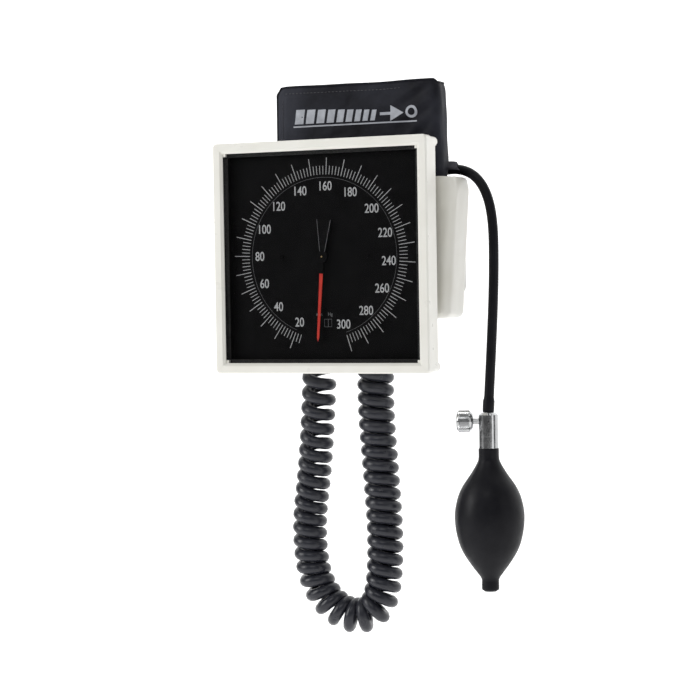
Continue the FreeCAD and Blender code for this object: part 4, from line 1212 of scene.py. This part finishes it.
def cover_front(x, z):
    """The cover's front surface over a point, found by a ray from the front."""
    hit, place, _, _ = cuff_cover.ray_cast(Vector((x * MM, -0.06, z * MM)), Vector((0, 1, 0)))
    return place if hit else Vector((x * MM, -0.036, z * MM))


hem_left = [cover_front(FRONT_LEFT + 4.8, LOW + 8 + i * 2.0) for i in range(68)]
hem_top = [cover_front(FRONT_LEFT + 8 + i * 2.0, top_edge(8 + i * 2.0) - 4.8) for i in range(45)]
path = bpy.data.meshes.new("stitch_path")
verts = hem_left + hem_top
path.from_pydata([p + Vector((0, -0.00008, 0)) for p in verts], [
    (i, i + 1) for i in range(len(verts) - 1) if i != len(hem_left) - 1], [])
stitches = run_tree("cuff_stitches", stitch_tree, {
    "Spacing": 0.0028, "Stitch length": 0.0021, "Thread": 0.00028, "Finish": thread_black}, path)
stitches.data.shade_smooth()
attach(stitches, "cuff")
print("stitches:", len(stitches.data.polygons), "faces")

# %% [markdown]
# ### Printed sign
#
# A cuff carries a silver print. Here it is a plain sign of our own: a run of bars that shows the range
# of arm sizes, with an arrow for the artery. The outline is laid on the cloth point by point, so that it
# follows the creases.

# %% Printed sign
def printed(name, shapes, step, look):
    """Flat shapes of (x, z) polygons in millimetres, laid on the cover's front."""
    mesh = bmesh.new()
    for shape in shapes:
        verts = [mesh.verts.new((x * MM, 0, z * MM)) for x, z in shape]
        mesh.faces.new(verts)
    bmesh.ops.triangulate(mesh, faces=mesh.faces)
    for cut in range(-40, 68, step):
        bmesh.ops.bisect_plane(mesh, geom=mesh.verts[:] + mesh.edges[:] + mesh.faces[:],
                               plane_co=(cut * MM, 0, 0), plane_no=(1, 0, 0))
    for cut in range(78, 108, step):
        bmesh.ops.bisect_plane(mesh, geom=mesh.verts[:] + mesh.edges[:] + mesh.faces[:],
                               plane_co=(0, 0, cut * MM), plane_no=(0, 0, 1))
    flat = list(mesh.verts)
    skin = bmesh.ops.extrude_face_region(mesh, geom=mesh.faces[:])
    raised = {v for v in skin["geom"] if isinstance(v, bmesh.types.BMVert)}
    for v in mesh.verts:
        on = cover_front(v.co.x / MM, v.co.z / MM)
        v.co.y = on.y + (-0.00014 if v in raised else 0.00012)
    return object_from(name, mesh, look)


def bar(x0, x1, z0, z1, lean=0.0):
    return [(x0, z0), (x1, z0), (x1 + lean, z1), (x0 + lean, z1)]


SIGN_LOW, SIGN_HIGH = 86.0, 97.0
sign = [bar(-34, 62, 84.2, 85.2)]
x, wide = -33.0, 6.9
for i in range(9):
    sign.append(bar(x, x + wide, SIGN_LOW + 0.6, SIGN_HIGH - 0.35 * i, 1.5))
    x += wide + 2.0
    wide -= 0.42
sign.append([(34, 92.0), (42, 92.0), (42, 96.8), (52, 91.0), (42, 85.6), (42, 90.0), (34, 90.0)])
ring_out, ring_in = [[(58 + r * math.cos(t), 91.6 + r * math.sin(t))
                      for t in [2 * math.pi * k / 28 for k in range(29)]] for r in (4.4, 2.6)]
for i in range(28):
    sign.append([ring_out[i], ring_out[i + 1], ring_in[i + 1], ring_in[i]])
print_sign = printed("cuff_sign", sign, 4, label_silver)
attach(print_sign, "cuff")
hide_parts("range_label")
print("sign:", len(print_sign.data.polygons), "faces")

# %% [markdown]
# ### Hook and loop patches
#
# Inside the roll sit the two closing patches. Each is a thin pad with soft rounded edges and a pile
# texture.

# %% Patches
def patch(name, cad_node):
    low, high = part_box(cad_node)
    mesh = bmesh.new()
    bmesh.ops.create_grid(mesh, x_segments=12, y_segments=30, size=0.5)
    for v in mesh.verts:
        x = low[0] + (high[0] - low[0]) * (v.co.x + 0.5)
        z = low[2] + (high[2] - low[2]) * (v.co.y + 0.5)
        v.co = (x, (low[1] + high[1]) / 2 + 0.0001 * noise.noise(Vector((x, 0, z)) * 90), z)
    bmesh.ops.recalc_face_normals(mesh, faces=mesh.faces)
    data = bpy.data.meshes.new(name)
    mesh.to_mesh(data)
    mesh.free()
    obj = add_object(name, data)
    thick = obj.modifiers.new("thick", "SOLIDIFY")
    thick.thickness = (high[1] - low[1]) * 0.9
    thick.offset = 0.0
    soft = obj.modifiers.new("soft", "BEVEL")
    soft.width = 0.0004
    soft.segments = 2
    data = baked(obj)
    obj.modifiers.clear()
    obj.data = data
    data.materials.append(hook_loop)
    data.shade_smooth()
    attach(obj, "cuff")
    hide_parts(cad_node)
    return obj


for name, cad_node in (("hook_pad", "hook_patch"), ("loop_pad", "loop_patch")):
    print(name, len(patch(name, cad_node).data.polygons), "faces")

# %% [markdown]
# ### Hose sleeve
#
# A fabric tab holds the bulb hose down where it leaves the cuff. It is one strip laid over the hose like
# a saddle, pinched along its top, with a slanted end; the hose shows black beneath it.

# %% Hose sleeve
SLEEVE_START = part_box("tube_sleeve")[0][0] + 0.0003
SLEEVE_LENGTH, SLEEVE_WIDTH = 0.0138, 0.0135
SEG, LEN = 24, 14
sleeve = bmesh.new()
first = next(i for i, c in enumerate(hose_centres) if c.x > SLEEVE_START and c.z > 0.045)
covered_from = lengths(hose_centres)[first]
rows = []
for i in range(LEN + 1):
    t = i / LEN
    c = along(hose_axis, hose_dist, covered_from + SLEEVE_LENGTH * t)[0]
    ring = []
    for j in range(SEG + 1):
        a = -0.12 + (math.pi + 0.24) * j / SEG
        up, deep = math.sin(a), math.cos(a)
        fin = 1.7 * max(0.0, up) ** 6
        p = c + Vector((-3.4 * t * up, 3.95 * deep * (1 - 0.4 * max(0.0, up) ** 3), 3.95 * up + fin)) * MM
        ring.append(sleeve.verts.new(p))
    rows.append(ring)
for ra, rb in zip(rows, rows[1:]):
    for j in range(SEG):
        sleeve.faces.new((ra[j], ra[j + 1], rb[j + 1], rb[j]))
bmesh.ops.recalc_face_normals(sleeve, faces=sleeve.faces)
uv = sleeve.loops.layers.uv.new("cloth")
for f in sleeve.faces:
    for loop in f.loops:
        loop[uv].uv = (loop.vert.co.x, loop.vert.co.z)
sleeve_area = sum(f.calc_area() for f in sleeve.faces)
sleeve_mesh = bpy.data.meshes.new("hose_sleeve")
sleeve.to_mesh(sleeve_mesh)
sleeve.free()
sleeve_obj = add_object("hose_sleeve", sleeve_mesh)
sleeve_mesh.materials.append(sleeve_cloth)
sleeve_mesh.shade_smooth()
thick = sleeve_obj.modifiers.new("thick", "SOLIDIFY")
thick.thickness = 0.0005
thick.offset = 0.0
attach(sleeve_obj, "cuff")
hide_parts("tube_sleeve")
print("sleeve: %.1f x %.1f mm flat" % (SLEEVE_WIDTH / MM, sleeve_area / SLEEVE_WIDTH / MM))

# %% [markdown]
# ## Studio
#
# A plain pale floor that sweeps up behind the object, a dim white world and four large soft lamps. The
# brightest is far to the left, so that the window doesn't mirror it and the bulb gets its long highlight.

# %% Studio
def sweep(name, look):
    """Floor that curves up into a backdrop, seen from the front."""
    mesh = bmesh.new()
    line = [(-4.0, -0.62), (0.6, -0.62)]
    bend = [math.pi / 2 * i / 16 for i in range(1, 17)]
    line += [(0.6 + 0.9 * math.sin(a), 0.28 - 0.9 * math.cos(a)) for a in bend]
    line.append((1.5, 4.0))
    rows = [[mesh.verts.new((x, y, z)) for x in (-5, 5)] for y, z in line]
    for a, b in zip(rows, rows[1:]):
        mesh.faces.new((a[0], a[1], b[1], b[0]))
    data = bpy.data.meshes.new(name)
    mesh.to_mesh(data)
    mesh.free()
    data.shade_smooth()
    data.materials.append(look)
    return add_object(name, data)


paper = finish("paper", (0.6, 0.6, 0.6), 0.9, Emission_Color=(1, 1, 1, 1), Emission_Strength=0.8)
sweep("studio_floor", paper)


def lamp(name, place, target, size, power):
    data = bpy.data.lights.new(name, "AREA")
    data.shape = "RECTANGLE"
    data.size, data.size_y = size
    data.energy = power
    obj = bpy.data.objects.new(name, data)
    obj.matrix_world = aim(place, target, 0)
    bpy.context.collection.objects.link(obj)


lamp("key", (-1.75, -1.35, 0.75), (0, 0, -0.05), (0.9, 1.5), 30)
lamp("front", (0.35, -1.9, 1.5), (0, 0, -0.05), (1.2, 0.8), 9)
lamp("fill", (1.8, -0.6, 0.3), (0, 0, -0.1), (0.7, 1.6), 4)
lamp("back", (0.0, 0.2, 2.0), (0, 1.5, 0), (3.0, 1.0), 20)
world = bpy.data.worlds.new("studio")
bpy.context.scene.world = world
world.use_nodes = True
world.node_tree.nodes["Background"].inputs["Color"].default_value = (1, 1, 1, 1)
world.node_tree.nodes["Background"].inputs["Strength"].default_value = 0.10
bpy.context.scene.view_settings.view_transform = "Standard"
print("studio ready")

bpy.context.view_layer.update()
